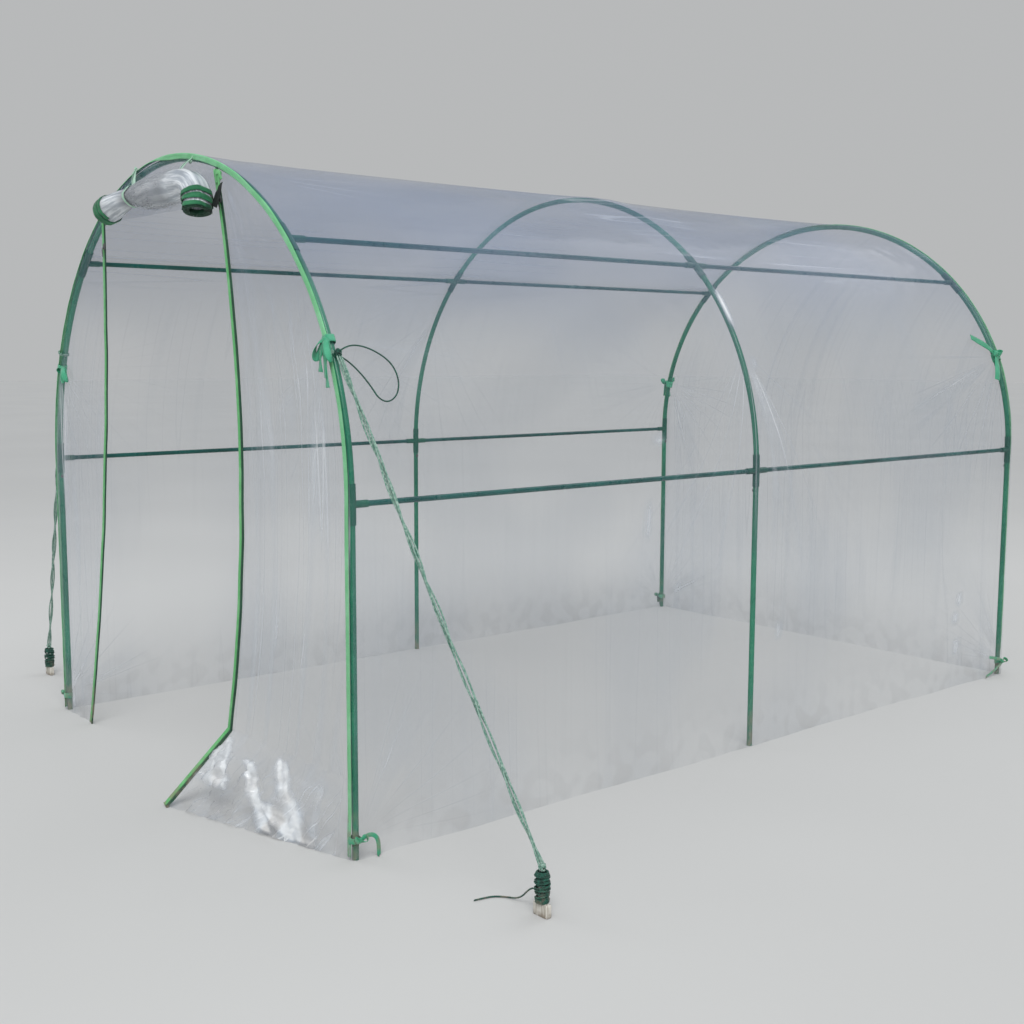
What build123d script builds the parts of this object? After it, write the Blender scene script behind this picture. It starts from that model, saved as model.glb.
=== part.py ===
"""Walk-in garden polytunnel: three tube hoops, four purlin lines and a clear film cover.

X runs across the tunnel, Y along it with the door end at -Y, and Z up from level ground.
The origin is on the ground at the middle of the tunnel's overall box.
"""

import os
from math import cos, degrees, pi, radians, sin, sqrt, tan

from build123d import *

# Frame, in millimetres
hoop_radius = 990.0
leg_height = 970.0
bay_length = 1650.0
upper_purlin_angle = 45.6
tube_diameter = 19.0
tube_wall = 1.2
tube_end_gap = 2.0
purlin_diameter = 16.0
purlin_wall = 1.0

# Connectors
sleeve_length = 110.0
sleeve_wall = 2.2
socket_length = 50.0
socket_wall = 2.0
socket_depth = 36.0
slip_clearance = 0.3

# Film cover
film_thickness = 2.0
seat_gap = 0.3

# Door end: each zip runs from the hoop down to the ground, x and z measured on the gable
zip_width = 14.0
zip_thickness = 2.5
left_zip_top_x = -485.0
left_zip_knee = (-583.0, 675.0)
left_zip_foot_x = -745.0
right_zip_top_x = 318.0
right_zip_knee = (426.0, 822.0)
right_zip_bend = (328.0, 218.0)
skirt_reach = 195.0
skirt_toe_x = 271.0
header_drop = 158.0
header_side_gap = 2.0
binding_width = 18.0
binding_thickness = 1.6
binding_ground_gap = 8.0

# Rolled-up door film: stations on its middle line, as x, drop below the arch, radius, gap to the film
roll_left_end = (-375.0, 68.0, 48.0, 6.0)
roll_left_tie = (-165.0, 88.0, 32.0, 7.5)
roll_middle = (40.0, 101.0, 53.0, 3.0)
roll_bend = (268.0, 64.0, 44.0, 3.0)
roll_right_end = (306.0, 135.5, 49.0, 9.0)
roll_tape_width = 7.0
roll_tape_thickness = 3.0
roll_tape_inset = 4.0
roll_tape_spacing = 16.0
roll_tie_width = 14.0
roll_tie_thickness = 2.0
roll_tie_slack = 4.2
right_roll_tie_x = 176.0

# Ribbon ties on the end hoops
ribbon_width = 12.0
ribbon_thickness = 1.6
ribbon_knot = 12.0
bow_length = 34.0
bow_height = 18.0
tail_length = 78.0
tail_lean = 9.0
foot_tie_height = 58.0
foot_tail_length = 40.0
front_right_tie_angle = 25.7
front_left_tie_angle = 20.0
rear_right_tie_angle = 23.0
rear_left_tie_angle = 14.0

# Guy ropes, their pegs and the spare cord
rope_diameter = 6.0
rope_knot_diameter = 18.0
rope_angle = 23.0
peg_x = 1585.0
peg_behind_front_hoop = 150.0
stake_width = 52.0
stake_thickness = 18.0
stake_core = 18.0
wrap_bottom = 34.0
wrap_diameter = 46.0
wrap_height = 80.0
cord_diameter = 5.0
cord_standoff = 6.0
cord_arc_share = 0.45

# Spare loop on the outside of the cover: distance behind the front hoop, and down the arch
loop_route = [(7, -6), (28, -18), (60, -25), (97, -18), (133, 0), (162, 24), (176, 55), (176, 90),
              (160, 121), (130, 137), (102, 126), (87, 98), (67, 66), (44, 38), (22, 17), (6, 8)]

# Spare tail on the ground: x, distance behind the front hoop, height
tail_route = [(1561, 150, 62), (1545, 151, 58), (1523, 154, 41), (1501, 158, 20),
              (1476, 159, 6), (1447, 150, 3), (1425, 129, 3), (1417, 101, 3), (1413, 74, 3)]

sleeve_radius = tube_diameter / 2 + slip_clearance + sleeve_wall
film_inner_radius = hoop_radius + sleeve_radius + seat_gap
film_outer_radius = film_inner_radius + film_thickness
gable_inner_offset = sleeve_radius + seat_gap
gable_outer_offset = gable_inner_offset + film_thickness
front_reach = skirt_reach + gable_outer_offset
rear_reach = max(bow_length, gable_outer_offset + binding_thickness)
overall_depth = front_reach + 2 * bay_length + rear_reach
front_hoop_y = front_reach - overall_depth / 2
hoop_places = {
    "front": front_hoop_y,
    "middle": front_hoop_y + bay_length,
    "rear": front_hoop_y + 2 * bay_length,
}
front_film_y = front_hoop_y - gable_outer_offset
rear_film_y = hoop_places["rear"] + gable_outer_offset
film_length = rear_film_y - front_film_y
sleeve_half_angle = degrees(sleeve_length / 2 / hoop_radius)
end_gap_angle = degrees(tube_end_gap / 2 / hoop_radius)
peg_y = front_hoop_y + peg_behind_front_hoop
wrap_top = wrap_bottom + seat_gap + wrap_height


def arch_point(radius, angle, y):
    """Point on an arch of the given radius, the angle measured up from the right spring line."""
    return (radius * cos(radians(angle)), y, leg_height + radius * sin(radians(angle)))


def arch_plane(angle, y):
    """Plane across a hoop tube at an angle, its X outwards and its Y along the tunnel."""
    turn = radians(angle)
    return Plane(origin=arch_point(hoop_radius, angle, y), x_dir=(cos(turn), 0, sin(turn)),
                 z_dir=(-sin(turn), 0, cos(turn)))


def leg_plane(side, y, z):
    """Level plane across a leg, its X outwards and its Y along the tunnel."""
    return Plane(origin=(side * hoop_radius, y, z), x_dir=(side, 0, 0), z_dir=(0, 0, side))


def arch_axis(y):
    """Axis of a hoop's arch, which turns from the right side over the top to the left."""
    return Axis((0, y, leg_height), (0, -1, 0))


def gable_plane(y):
    """Upright plane across the tunnel whose sketch X and Y are the tunnel's X and Z."""
    return Plane(origin=(0, y, 0), x_dir=(1, 0, 0), z_dir=(0, -1, 0))


def save(name, piece):
    """Labels a finished piece and writes it as its own file."""
    piece.part.label = name
    export_step(piece.part, f"parts/{name}.step")


def make_leg(side, y):
    """Straight lower tube of a hoop, from the ground into the lower connector."""
    with BuildPart() as leg:
        with BuildSketch(Plane((side * hoop_radius, y, 0))):
            Circle(tube_diameter / 2)
            Circle(tube_diameter / 2 - tube_wall, mode=Mode.SUBTRACT)
        extrude(amount=leg_height - tube_end_gap / 2)
    return leg


def make_arc_tube(y, start, end):
    """Bent tube of a hoop between two angles."""
    with BuildPart() as tube:
        with BuildSketch(arch_plane(start, y)):
            Circle(tube_diameter / 2)
            Circle(tube_diameter / 2 - tube_wall, mode=Mode.SUBTRACT)
        revolve(axis=arch_axis(y), revolution_arc=end - start)
    return tube


def make_connectors(y, directions):
    """Four sleeves over the joints of a hoop, with a socket for each purlin that meets them."""
    leg_part = sleeve_length / 2
    with BuildPart() as connectors:
        for angle in (0, upper_purlin_angle, 180 - upper_purlin_angle, 180):
            side = 1 if angle < 90 else -1
            first = max(angle - sleeve_half_angle, 0)
            last = min(angle + sleeve_half_angle, 180)
            middle = arch_point(hoop_radius, angle, y)
            foot = Plane((side * hoop_radius, y, leg_height - leg_part))
            with BuildSketch(arch_plane(first, y)):
                Circle(sleeve_radius)
            revolve(axis=arch_axis(y), revolution_arc=last - first)
            if angle in (0, 180):
                with BuildSketch(foot):
                    Circle(sleeve_radius)
                extrude(amount=leg_part)
            for direction in directions:
                socket = Plane(origin=middle, z_dir=(0, direction, 0))
                with BuildSketch(socket):
                    Circle(purlin_diameter / 2 + slip_clearance + socket_wall)
                extrude(amount=socket_length)
                with BuildSketch(socket.offset(socket_length - socket_depth)):
                    Circle(purlin_diameter / 2 + slip_clearance)
                extrude(amount=socket_depth, mode=Mode.SUBTRACT)
            with BuildSketch(arch_plane(first, y)):
                Circle(tube_diameter / 2 + slip_clearance)
            revolve(axis=arch_axis(y), revolution_arc=last - first, mode=Mode.SUBTRACT)
            if angle in (0, 180):
                with BuildSketch(foot):
                    Circle(tube_diameter / 2 + slip_clearance)
                extrude(amount=leg_part, mode=Mode.SUBTRACT)
    return connectors


def make_purlin(angle, y):
    """Straight tube along one bay, seated in the sockets of two hoops."""
    start = socket_length - socket_depth + slip_clearance
    with BuildPart() as purlin:
        with BuildSketch(Plane(origin=arch_point(hoop_radius, angle, y + start), z_dir=(0, 1, 0))):
            Circle(purlin_diameter / 2)
            Circle(purlin_diameter / 2 - purlin_wall, mode=Mode.SUBTRACT)
        extrude(amount=bay_length - 2 * start)
    return purlin


def arch_outline(radius):
    """Adds the tunnel's end shape, a half circle on a rectangle, to the sketch."""
    with Locations((0, leg_height)):
        Circle(radius)
    with Locations((0, leg_height / 2)):
        Rectangle(2 * radius, leg_height)
    with Locations((0, -radius)):
        Rectangle(4 * radius, 2 * radius, mode=Mode.SUBTRACT)


def arch_height(radius, x):
    """Height of the end outline over a place on the ground."""
    return leg_height + sqrt(radius ** 2 - x ** 2)


left_zip_points = [
    (left_zip_top_x, arch_height(hoop_radius, left_zip_top_x)),
    left_zip_knee,
    (left_zip_foot_x, 0),
]
right_zip_points = [
    (right_zip_top_x, arch_height(hoop_radius, right_zip_top_x)),
    right_zip_knee,
    right_zip_bend,
]


def keep_beside_zip(points, far_x):
    """Keeps the sketch between a zip's line and a far upright line."""
    top = arch_height(film_outer_radius, 0)
    with BuildLine() as edge:
        Line((points[0][0], top), points[0])
        Spline(*points)
        Polyline(points[-1], (far_x, points[-1][1]), (far_x, top), (points[0][0], top))
    make_face(edge.edges(), mode=Mode.INTERSECT)


def make_tie_loop(plane, end, growth):
    """Adds a ribbon loop round a hoop tube and the film's corner at an end of the tunnel."""
    inside = tube_diameter / 2 + slip_clearance
    outside = film_outer_radius - hoop_radius + slip_clearance
    beyond = gable_outer_offset + binding_thickness + slip_clearance
    wall = 2 * ribbon_thickness
    with BuildSketch(plane) as loop:
        with Locations(((outside - inside) / 2, end * (beyond - inside) / 2)):
            Rectangle(inside + outside + wall + 2 * growth, inside + beyond + wall + 2 * growth)
            Rectangle(inside + outside - 2 * growth, inside + beyond - 2 * growth,
                      mode=Mode.SUBTRACT)
    extrude(loop.sketch, amount=ribbon_width / 2 + growth, both=True)


def make_bow(plane, tail):
    """Adds a flat bow with two hanging tails to a knot, on the plane that the bow lies in."""
    with BuildSketch(plane) as bow:
        for way in (-1, 1):
            with Locations((way * bow_length / 2, 0)):
                Ellipse(bow_length / 2, bow_height / 2)
            with Locations((way * tail_lean, -tail / 2)):
                Rectangle(ribbon_width, tail, rotation=way * tail_lean)
    extrude(bow.sketch, amount=ribbon_thickness / 2, both=True)
    with Locations(plane):
        Sphere(ribbon_knot / 2)


def tie_planes(end):
    """Planes across the four tied places of an end hoop, each with its side of the tunnel."""
    y = hoop_places["front"] if end < 0 else hoop_places["rear"]
    right = front_right_tie_angle if end < 0 else rear_right_tie_angle
    left = front_left_tie_angle if end < 0 else rear_left_tie_angle
    return {
        "upper": [(1, arch_plane(right, y)), (-1, arch_plane(180 - left, y))],
        "foot": [(side, leg_plane(side, y, foot_tie_height)) for side in (1, -1)],
    }


def make_ties(end):
    """Ribbon ties of an end hoop: two on the arch and two at the feet."""
    to_knot = slip_clearance + (ribbon_thickness + ribbon_knot) / 2
    out = film_outer_radius - hoop_radius + to_knot
    front = gable_outer_offset + binding_thickness + to_knot
    with BuildPart() as ties:
        for place, planes in tie_planes(end).items():
            for side, plane in planes:
                make_tie_loop(plane, end, 0)
                tail = tail_length if place == "upper" else foot_tail_length
                if end < 0 and place == "upper":
                    knot = plane.from_local_coords((0, end * front, 0))
                    make_bow(Plane(origin=knot, x_dir=(1, 0, 0), z_dir=(0, -1, 0)), tail)
                else:
                    knot = plane.from_local_coords((out, 0, 0))
                    make_bow(Plane(origin=knot, x_dir=(0, side, 0), z_dir=plane.x_dir), tail)
    return ties


with BuildPart() as tie_slits:
    for tied_end in (-1, 1):
        for tied_planes in tie_planes(tied_end).values():
            for _, tied_plane in tied_planes:
                make_tie_loop(tied_plane, tied_end, slip_clearance)


def make_film_wall(side):
    """Straight side of the cover, from the ground to the spring line."""
    middle = side * (film_inner_radius + film_thickness / 2)
    with BuildPart() as wall:
        with BuildSketch(Plane((middle, (front_film_y + rear_film_y) / 2, 0))):
            Rectangle(film_thickness, film_length)
        extrude(amount=leg_height)
        add(tie_slits.part, mode=Mode.SUBTRACT)
    return wall


def make_film_band(start, end):
    """Curved strip of the cover between two angles, the whole length of the tunnel."""
    turn = radians(start)
    middle = arch_point(film_inner_radius + film_thickness / 2, start, (front_film_y + rear_film_y) / 2)
    with BuildPart() as band:
        with BuildSketch(Plane(origin=middle, x_dir=(cos(turn), 0, sin(turn)),
                               z_dir=(-sin(turn), 0, cos(turn)))):
            Rectangle(film_thickness, film_length)
        revolve(axis=arch_axis(0), revolution_arc=end - start)
        add(tie_slits.part, mode=Mode.SUBTRACT)
    return band


def make_front_left_film():
    """Film of the door end between the left leg and the left zip."""
    with BuildPart() as film:
        with BuildSketch(gable_plane(front_film_y + film_thickness)):
            arch_outline(film_inner_radius - seat_gap)
            keep_beside_zip(left_zip_points, -2 * hoop_radius)
        extrude(amount=film_thickness)
        add(tie_slits.part, mode=Mode.SUBTRACT)
    return film


def make_front_right_film():
    """Film of the door end between the right zip and the right leg, down to the skirt's fold."""
    edge = film_inner_radius - seat_gap
    bend_x, bend_z = right_zip_bend
    with BuildPart() as film:
        with BuildSketch(gable_plane(front_film_y + film_thickness)):
            arch_outline(edge)
            keep_beside_zip(right_zip_points, 2 * hoop_radius)
            with BuildLine():
                Polyline((bend_x, bend_z), (edge, bend_z), (edge, 0), close=True)
            make_face()
        extrude(amount=film_thickness)
        add(tie_slits.part, mode=Mode.SUBTRACT)
    return film


def tilted_sheet(*corners):
    """Flat sketch through corners that lie in one tilted plane."""
    first, second, third = corners[:3]
    plane = Plane(origin=first, x_dir=second - first, z_dir=(second - first).cross(third - first))
    with BuildSketch(plane) as sheet:
        with BuildLine() as edge:
            Polyline(*[plane.to_local_coords(corner) for corner in corners], close=True)
        make_face(edge.edges())
    return sheet.sketch


def make_front_skirt():
    """Foot of the right film, folded outwards from the zip's bend down to the ground."""
    with BuildPart() as skirt:
        extrude(tilted_sheet(skirt_bend, skirt_toe, skirt_heel), amount=film_thickness,
                dir=(0, 1, 0))
    return skirt


def make_door_header():
    """Top of the door film, from the arch down to the roll that hangs in front of it."""
    width = right_zip_top_x - left_zip_top_x - 2 * header_side_gap
    middle_x = (left_zip_top_x + right_zip_top_x) / 2
    with BuildPart() as header:
        with BuildSketch(gable_plane(front_film_y + film_thickness)):
            arch_outline(film_inner_radius - seat_gap)
            with Locations((middle_x, leg_height + 2 * hoop_radius - header_drop)):
                Rectangle(width, 2 * hoop_radius, mode=Mode.INTERSECT)
        extrude(amount=film_thickness)
    return header


def make_rear_film():
    """Closed film wall at the far end."""
    with BuildPart() as film:
        with BuildSketch(gable_plane(rear_film_y)):
            arch_outline(film_inner_radius - seat_gap)
        extrude(amount=film_thickness)
        add(tie_slits.part, mode=Mode.SUBTRACT)
    return film


def make_binding(y):
    """Hem tape along the edge of an end, round the arch and down both legs."""
    outer = film_inner_radius - seat_gap
    inner = outer - binding_width
    with BuildPart() as binding:
        with BuildSketch(gable_plane(y)):
            arch_outline(outer)
            with Locations((0, leg_height)):
                Circle(inner, mode=Mode.SUBTRACT)
            with Locations((0, leg_height / 2)):
                Rectangle(2 * inner, leg_height, mode=Mode.SUBTRACT)
            with Locations((0, binding_ground_gap / 2)):
                Rectangle(4 * outer, binding_ground_gap, mode=Mode.SUBTRACT)
        extrude(amount=binding_thickness)
    return binding


def make_zip_strip(points, outwards):
    """Adds the strip along one side of the door, cut off where it meets the hem tape."""
    inner = film_inner_radius - 2 * seat_gap - binding_width
    shifted = [(x + outwards * zip_width, z) for x, z in reversed(points)]
    with BuildSketch(gable_plane(front_film_y)) as strip:
        with BuildLine() as edge:
            Spline(*points)
            Line(points[-1], shifted[0])
            Spline(*shifted)
            Line(shifted[-1], points[0])
        make_face(edge.edges())
    extrude(strip.sketch, amount=zip_thickness)
    with BuildSketch(gable_plane(front_film_y)) as beyond_arch:
        with Locations((0, leg_height)):
            Circle(2 * hoop_radius)
            Circle(inner, mode=Mode.SUBTRACT)
        with Locations((0, leg_height - 2 * hoop_radius)):
            Rectangle(4 * hoop_radius, 4 * hoop_radius, mode=Mode.SUBTRACT)
    extrude(beyond_arch.sketch, amount=zip_thickness, mode=Mode.SUBTRACT)


def make_left_zip():
    """Left zip, from the hem tape to just over the ground."""
    with BuildPart() as strip:
        make_zip_strip(left_zip_points, -1)
        with BuildSketch(Plane.XY):
            Rectangle(4 * hoop_radius, overall_depth)
        extrude(amount=zip_thickness, mode=Mode.SUBTRACT)
    return strip


def make_right_zip():
    """Right zip, whose lower end follows the skirt out to just over the ground."""
    low = skirt_bend + (skirt_toe - skirt_bend) * (1 - zip_thickness / skirt_bend.Z)
    across = Vector(zip_width, 0, 0)
    with BuildPart() as strip:
        make_zip_strip(right_zip_points, 1)
        extrude(tilted_sheet(skirt_bend, low, low + across, skirt_bend + across),
                amount=zip_thickness, dir=(0, -1, 0))
    return strip


def roll_place(station):
    """Middle point of the roll at a station, hanging clear of the film behind it."""
    x, drop, radius, gap = station
    return Vector(x, front_film_y - gap - radius, arch_height(hoop_radius, x) - drop)


def make_roll():
    """Door film rolled up sideways, pinched by its left tie, with both ends hanging down."""
    stations = [roll_left_end, roll_left_tie, roll_middle, roll_bend, roll_right_end]
    with BuildPart() as roll:
        for first, second in zip(stations, stations[1:]):
            along = roll_place(second) - roll_place(first)
            with BuildSketch(Plane(origin=roll_place(first), z_dir=along)):
                Circle(first[2])
            with BuildSketch(Plane(origin=roll_place(second), z_dir=along)):
                Circle(second[2])
            loft()
        for station in stations[1:-1]:
            with Locations(roll_place(station)):
                Sphere(station[2])
    return roll


def make_roll_tapes():
    """Dark tape turns round both ends of the roll."""
    with BuildPart() as tapes:
        for end, inner in ((roll_left_end, roll_left_tie), (roll_right_end, roll_bend)):
            along = roll_place(inner) - roll_place(end)
            for turn in (0, 1):
                reach = roll_tape_inset + turn * roll_tape_spacing
                radius = end[2] + (inner[2] - end[2]) * reach / along.length + seat_gap
                with BuildSketch(Plane(origin=roll_place(end), z_dir=along).offset(reach)):
                    Circle(radius + roll_tape_thickness)
                    Circle(radius, mode=Mode.SUBTRACT)
                extrude(amount=roll_tape_width)
    return tapes


def make_roll_ties():
    """Two ribbons that hold the roll up to the arch."""
    share = (right_roll_tie_x - roll_middle[0]) / (roll_bend[0] - roll_middle[0])
    right_place = roll_place(roll_middle) + (roll_place(roll_bend) - roll_place(roll_middle)) * share
    right_radius = roll_middle[2] + (roll_bend[2] - roll_middle[2]) * share
    top_y = front_film_y - binding_thickness - seat_gap - roll_tie_thickness / 2
    with BuildPart() as ties:
        for middle, before, after, inner in (
            (roll_place(roll_left_tie), roll_left_end, roll_middle, roll_left_tie[2] + roll_tie_slack),
            (right_place, roll_middle, roll_bend, right_radius + 2 * seat_gap),
        ):
            along = roll_place(after) - roll_place(before)
            with BuildSketch(Plane(origin=middle, z_dir=along)):
                Circle(inner + roll_tie_thickness)
                Circle(inner, mode=Mode.SUBTRACT)
            extrude(amount=roll_tie_width / 2, both=True)
            low = middle + Vector(0, 0, inner + roll_tie_thickness / 2)
            high = Vector(middle.X, top_y, arch_height(hoop_radius, middle.X))
            rise = high - low
            with BuildSketch(Plane(origin=low + rise * 0.5, x_dir=rise, z_dir=(1, 0, 0))):
                Rectangle(rise.length, roll_tie_thickness)
            extrude(amount=roll_tie_width / 2, both=True)
    return ties


def make_guy_rope(side):
    """Taut rope from its knot on the front hoop to its knot on the peg."""
    angle = rope_angle if side > 0 else 180 - rope_angle
    reach = film_outer_radius + seat_gap + rope_knot_diameter / 2
    top = Vector(*arch_point(reach, angle, front_hoop_y))
    bottom = Vector(side * peg_x, peg_y, wrap_top + seat_gap + rope_knot_diameter / 2)
    with BuildPart() as rope:
        with BuildSketch(Plane(origin=top, z_dir=bottom - top)):
            Circle(rope_diameter / 2)
        extrude(amount=(bottom - top).length)
        with Locations(Plane(origin=top, z_dir=bottom - top), Plane(origin=bottom, z_dir=bottom - top)):
            Sphere(rope_knot_diameter / 2)
    return rope


def make_stakes():
    """Ground stakes of both ropes: a broad foot and a slim neck."""
    with BuildPart() as stakes:
        with BuildSketch(Plane.XY):
            with Locations((peg_x, peg_y), (-peg_x, peg_y)):
                Rectangle(stake_width, stake_thickness)
        extrude(amount=wrap_bottom)
        with BuildSketch(Plane.XY.offset(wrap_bottom)):
            with Locations((peg_x, peg_y), (-peg_x, peg_y)):
                Rectangle(stake_core, stake_core)
        extrude(amount=wrap_height / 2)
    return stakes


def make_wraps():
    """Cord wound round the neck of both stakes."""
    with BuildPart() as wraps:
        with BuildSketch(Plane.XY.offset(wrap_bottom + seat_gap)):
            with Locations((peg_x, peg_y), (-peg_x, peg_y)):
                Circle(wrap_diameter / 2)
        extrude(amount=wrap_height)
        with BuildSketch(Plane.XY.offset(wrap_bottom + seat_gap)):
            with Locations((peg_x, peg_y), (-peg_x, peg_y)):
                Rectangle(stake_core + 2 * slip_clearance, stake_core + 2 * slip_clearance)
        extrude(amount=wrap_height / 2 + seat_gap, mode=Mode.SUBTRACT)
    return wraps


def make_cord(name, points):
    """Round cord along straight runs joined by arcs as large as the runs allow."""
    corners = [Vector(*point) for point in points]
    runs = [b - a for a, b in zip(corners, corners[1:])]
    radii = [cord_arc_share * min(a.length, b.length) / tan(radians(a.get_angle(b) / 2))
             for a, b in zip(runs, runs[1:])]
    with BuildPart() as cord:
        with BuildLine() as path:
            FilletPolyline(*corners, radius=radii)
        route = path.wires()[0]
        with BuildSketch(Plane(origin=route @ 0, z_dir=route % 0)):
            Circle(cord_diameter / 2)
        sweep(path=route)
    swept = pi * cord_diameter ** 2 / 4 * route.length
    print(name, "length", round(route.length), "smallest radius", round(min(radii), 1),
          "volume share", round(cord.part.volume / swept, 4))
    return cord


skirt_bend = Vector(right_zip_bend[0], front_film_y, right_zip_bend[1])
skirt_toe = Vector(skirt_toe_x, front_film_y - skirt_reach, 0)
skirt_heel = Vector(film_inner_radius - seat_gap, front_film_y, 0)
loop_points = [arch_point(film_outer_radius + cord_standoff,
                          rope_angle - degrees(down / film_outer_radius), front_hoop_y + behind)
               for behind, down in loop_route]
tail_points = [(x, front_hoop_y + behind, z) for x, behind, z in tail_route]
side_names = {1: "right", -1: "left"}

os.makedirs("parts", exist_ok=True)

for hoop, hoop_y in hoop_places.items():
    for side, side_name in side_names.items():
        save(f"{hoop}_{side_name}_leg", make_leg(side, hoop_y))
    low_end = end_gap_angle
    high_end = upper_purlin_angle - end_gap_angle
    save(f"{hoop}_right_shoulder_tube", make_arc_tube(hoop_y, low_end, high_end))
    save(f"{hoop}_left_shoulder_tube", make_arc_tube(hoop_y, 180 - high_end, 180 - low_end))
    top_start = upper_purlin_angle + end_gap_angle
    save(f"{hoop}_crown_tube", make_arc_tube(hoop_y, top_start, 180 - top_start))

save("front_connectors", make_connectors(hoop_places["front"], [1]))
save("middle_connectors", make_connectors(hoop_places["middle"], [-1, 1]))
save("rear_connectors", make_connectors(hoop_places["rear"], [-1]))

for bay, bay_y in (("front", hoop_places["front"]), ("rear", hoop_places["middle"])):
    save(f"{bay}_right_lower_purlin", make_purlin(0, bay_y))
    save(f"{bay}_right_upper_purlin", make_purlin(upper_purlin_angle, bay_y))
    save(f"{bay}_left_upper_purlin", make_purlin(180 - upper_purlin_angle, bay_y))
    save(f"{bay}_left_lower_purlin", make_purlin(180, bay_y))

save("right_wall_film", make_film_wall(1))
save("left_wall_film", make_film_wall(-1))
save("right_shoulder_film", make_film_band(0, upper_purlin_angle))
save("roof_film", make_film_band(upper_purlin_angle, 180 - upper_purlin_angle))
save("left_shoulder_film", make_film_band(180 - upper_purlin_angle, 180))
save("front_left_film", make_front_left_film())
save("front_right_film", make_front_right_film())
save("front_skirt_film", make_front_skirt())
save("door_header_film", make_door_header())
save("rear_film", make_rear_film())
save("front_hem_tape", make_binding(front_film_y))
save("rear_hem_tape", make_binding(rear_film_y + binding_thickness))
save("left_zip", make_left_zip())
save("right_zip", make_right_zip())
save("door_roll", make_roll())
save("door_roll_tapes", make_roll_tapes())
save("door_roll_ties", make_roll_ties())
save("front_ribbon_ties", make_ties(-1))
save("rear_ribbon_ties", make_ties(1))
save("right_guy_rope", make_guy_rope(1))
save("left_guy_rope", make_guy_rope(-1))
save("guy_stakes", make_stakes())
save("stake_cord_wraps", make_wraps())
save("spare_cord_loop", make_cord("spare_cord_loop", loop_points))
save("spare_cord_tail", make_cord("spare_cord_tail", tail_points))
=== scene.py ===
"""Looks of the walk-in garden polytunnel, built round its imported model.

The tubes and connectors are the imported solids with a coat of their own. The film, its tapes, zips and
ties, the ropes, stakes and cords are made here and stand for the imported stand-ins. Sizes are in metres.
"""
from __future__ import annotations

import logging
from collections.abc import Callable, Sequence
from dataclasses import dataclass, field
from enum import Enum, IntEnum
from math import cos, pi, radians, sin, sqrt
from typing import Any

import bmesh
import bpy
import numpy as np
from mathutils import Euler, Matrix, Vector

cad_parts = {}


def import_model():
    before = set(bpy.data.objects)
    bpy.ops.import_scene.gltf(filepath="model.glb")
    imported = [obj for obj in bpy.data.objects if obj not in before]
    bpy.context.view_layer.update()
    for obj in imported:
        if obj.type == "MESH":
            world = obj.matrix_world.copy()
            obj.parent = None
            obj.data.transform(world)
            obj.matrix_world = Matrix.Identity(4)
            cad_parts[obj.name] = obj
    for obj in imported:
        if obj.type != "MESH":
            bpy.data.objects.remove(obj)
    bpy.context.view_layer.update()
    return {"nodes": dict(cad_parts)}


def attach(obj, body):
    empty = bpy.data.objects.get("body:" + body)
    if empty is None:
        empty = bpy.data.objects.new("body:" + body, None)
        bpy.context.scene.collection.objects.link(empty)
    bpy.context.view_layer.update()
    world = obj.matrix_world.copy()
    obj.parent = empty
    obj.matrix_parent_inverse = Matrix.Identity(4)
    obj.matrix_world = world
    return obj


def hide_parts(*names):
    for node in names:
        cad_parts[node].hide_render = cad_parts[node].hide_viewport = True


log = logging.getLogger("polytunnel")
UP = np.array((0.0, 0.0, 1.0))
ACROSS = np.array((1.0, 0.0, 0.0))
ALONG = np.array((0.0, 1.0, 0.0))


class Side(IntEnum):
    """Side of the tunnel, seen from the door end; the value is the sign of X."""

    LEFT = -1
    RIGHT = 1


class TunnelEnd(IntEnum):
    """End of the tunnel; the value is the sign of Y."""

    DOOR = -1
    REAR = 1


class TieSpot(Enum):
    """Where on an end hoop a ribbon is tied."""

    ARCH = "arch"
    FOOT = "foot"


# Repeatable noise and smooth lines


class Ripple:
    """Smooth repeatable noise from -1 to 1 over two coordinates."""

    def __init__(self, seed: int) -> None:
        """Draws the table that the noise is read from.

        Args:
            seed: Number that fixes the pattern.
        """
        self.table = np.random.default_rng(seed).uniform(-1.0, 1.0, (128, 128))

    def at(self, a: Any, b: Any) -> np.ndarray:
        """Reads the noise.

        Args:
            a: First coordinate, one unit a wave.
            b: Second coordinate, one unit a wave.

        Returns:
            The noise at each place.
        """
        a, b = np.broadcast_arrays(np.asarray(a, float), np.asarray(b, float))
        first, second = np.floor(a).astype(int), np.floor(b).astype(int)
        u, v = a - first, b - second
        u, v = u * u * (3 - 2 * u), v * v * (3 - 2 * v)

        def corner(i: int, j: int) -> np.ndarray:
            """Table value at one corner of each place's cell."""
            return self.table[(first + i) % 128, (second + j) % 128]

        low = corner(0, 0) * (1 - u) + corner(1, 0) * u
        high = corner(0, 1) * (1 - u) + corner(1, 1) * u
        return low * (1 - v) + high * v


def smooth_line(points: Sequence[Sequence[float]], count: int) -> np.ndarray:
    """Runs an even smooth line through points.

    Args:
        points: Places the line passes through, of any number of coordinates.
        count: Number of places on the line.

    Returns:
        The places, one a row, evenly spaced.
    """
    knots = np.asarray(points, float)
    padded = np.vstack([2 * knots[0] - knots[1], knots, 2 * knots[-1] - knots[-2]])
    t = np.linspace(0, len(knots) - 1, 24 * len(knots))
    i = np.minimum(t.astype(int), len(knots) - 2)
    u = (t - i)[:, None]
    a, b, c, d = (padded[i + k] for k in range(4))
    line = 0.5 * (2 * b + (c - a) * u + (2 * a - 5 * b + 4 * c - d) * u ** 2
                  + (3 * b - a - 3 * c + d) * u ** 3)
    return even_line(line, count)


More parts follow.
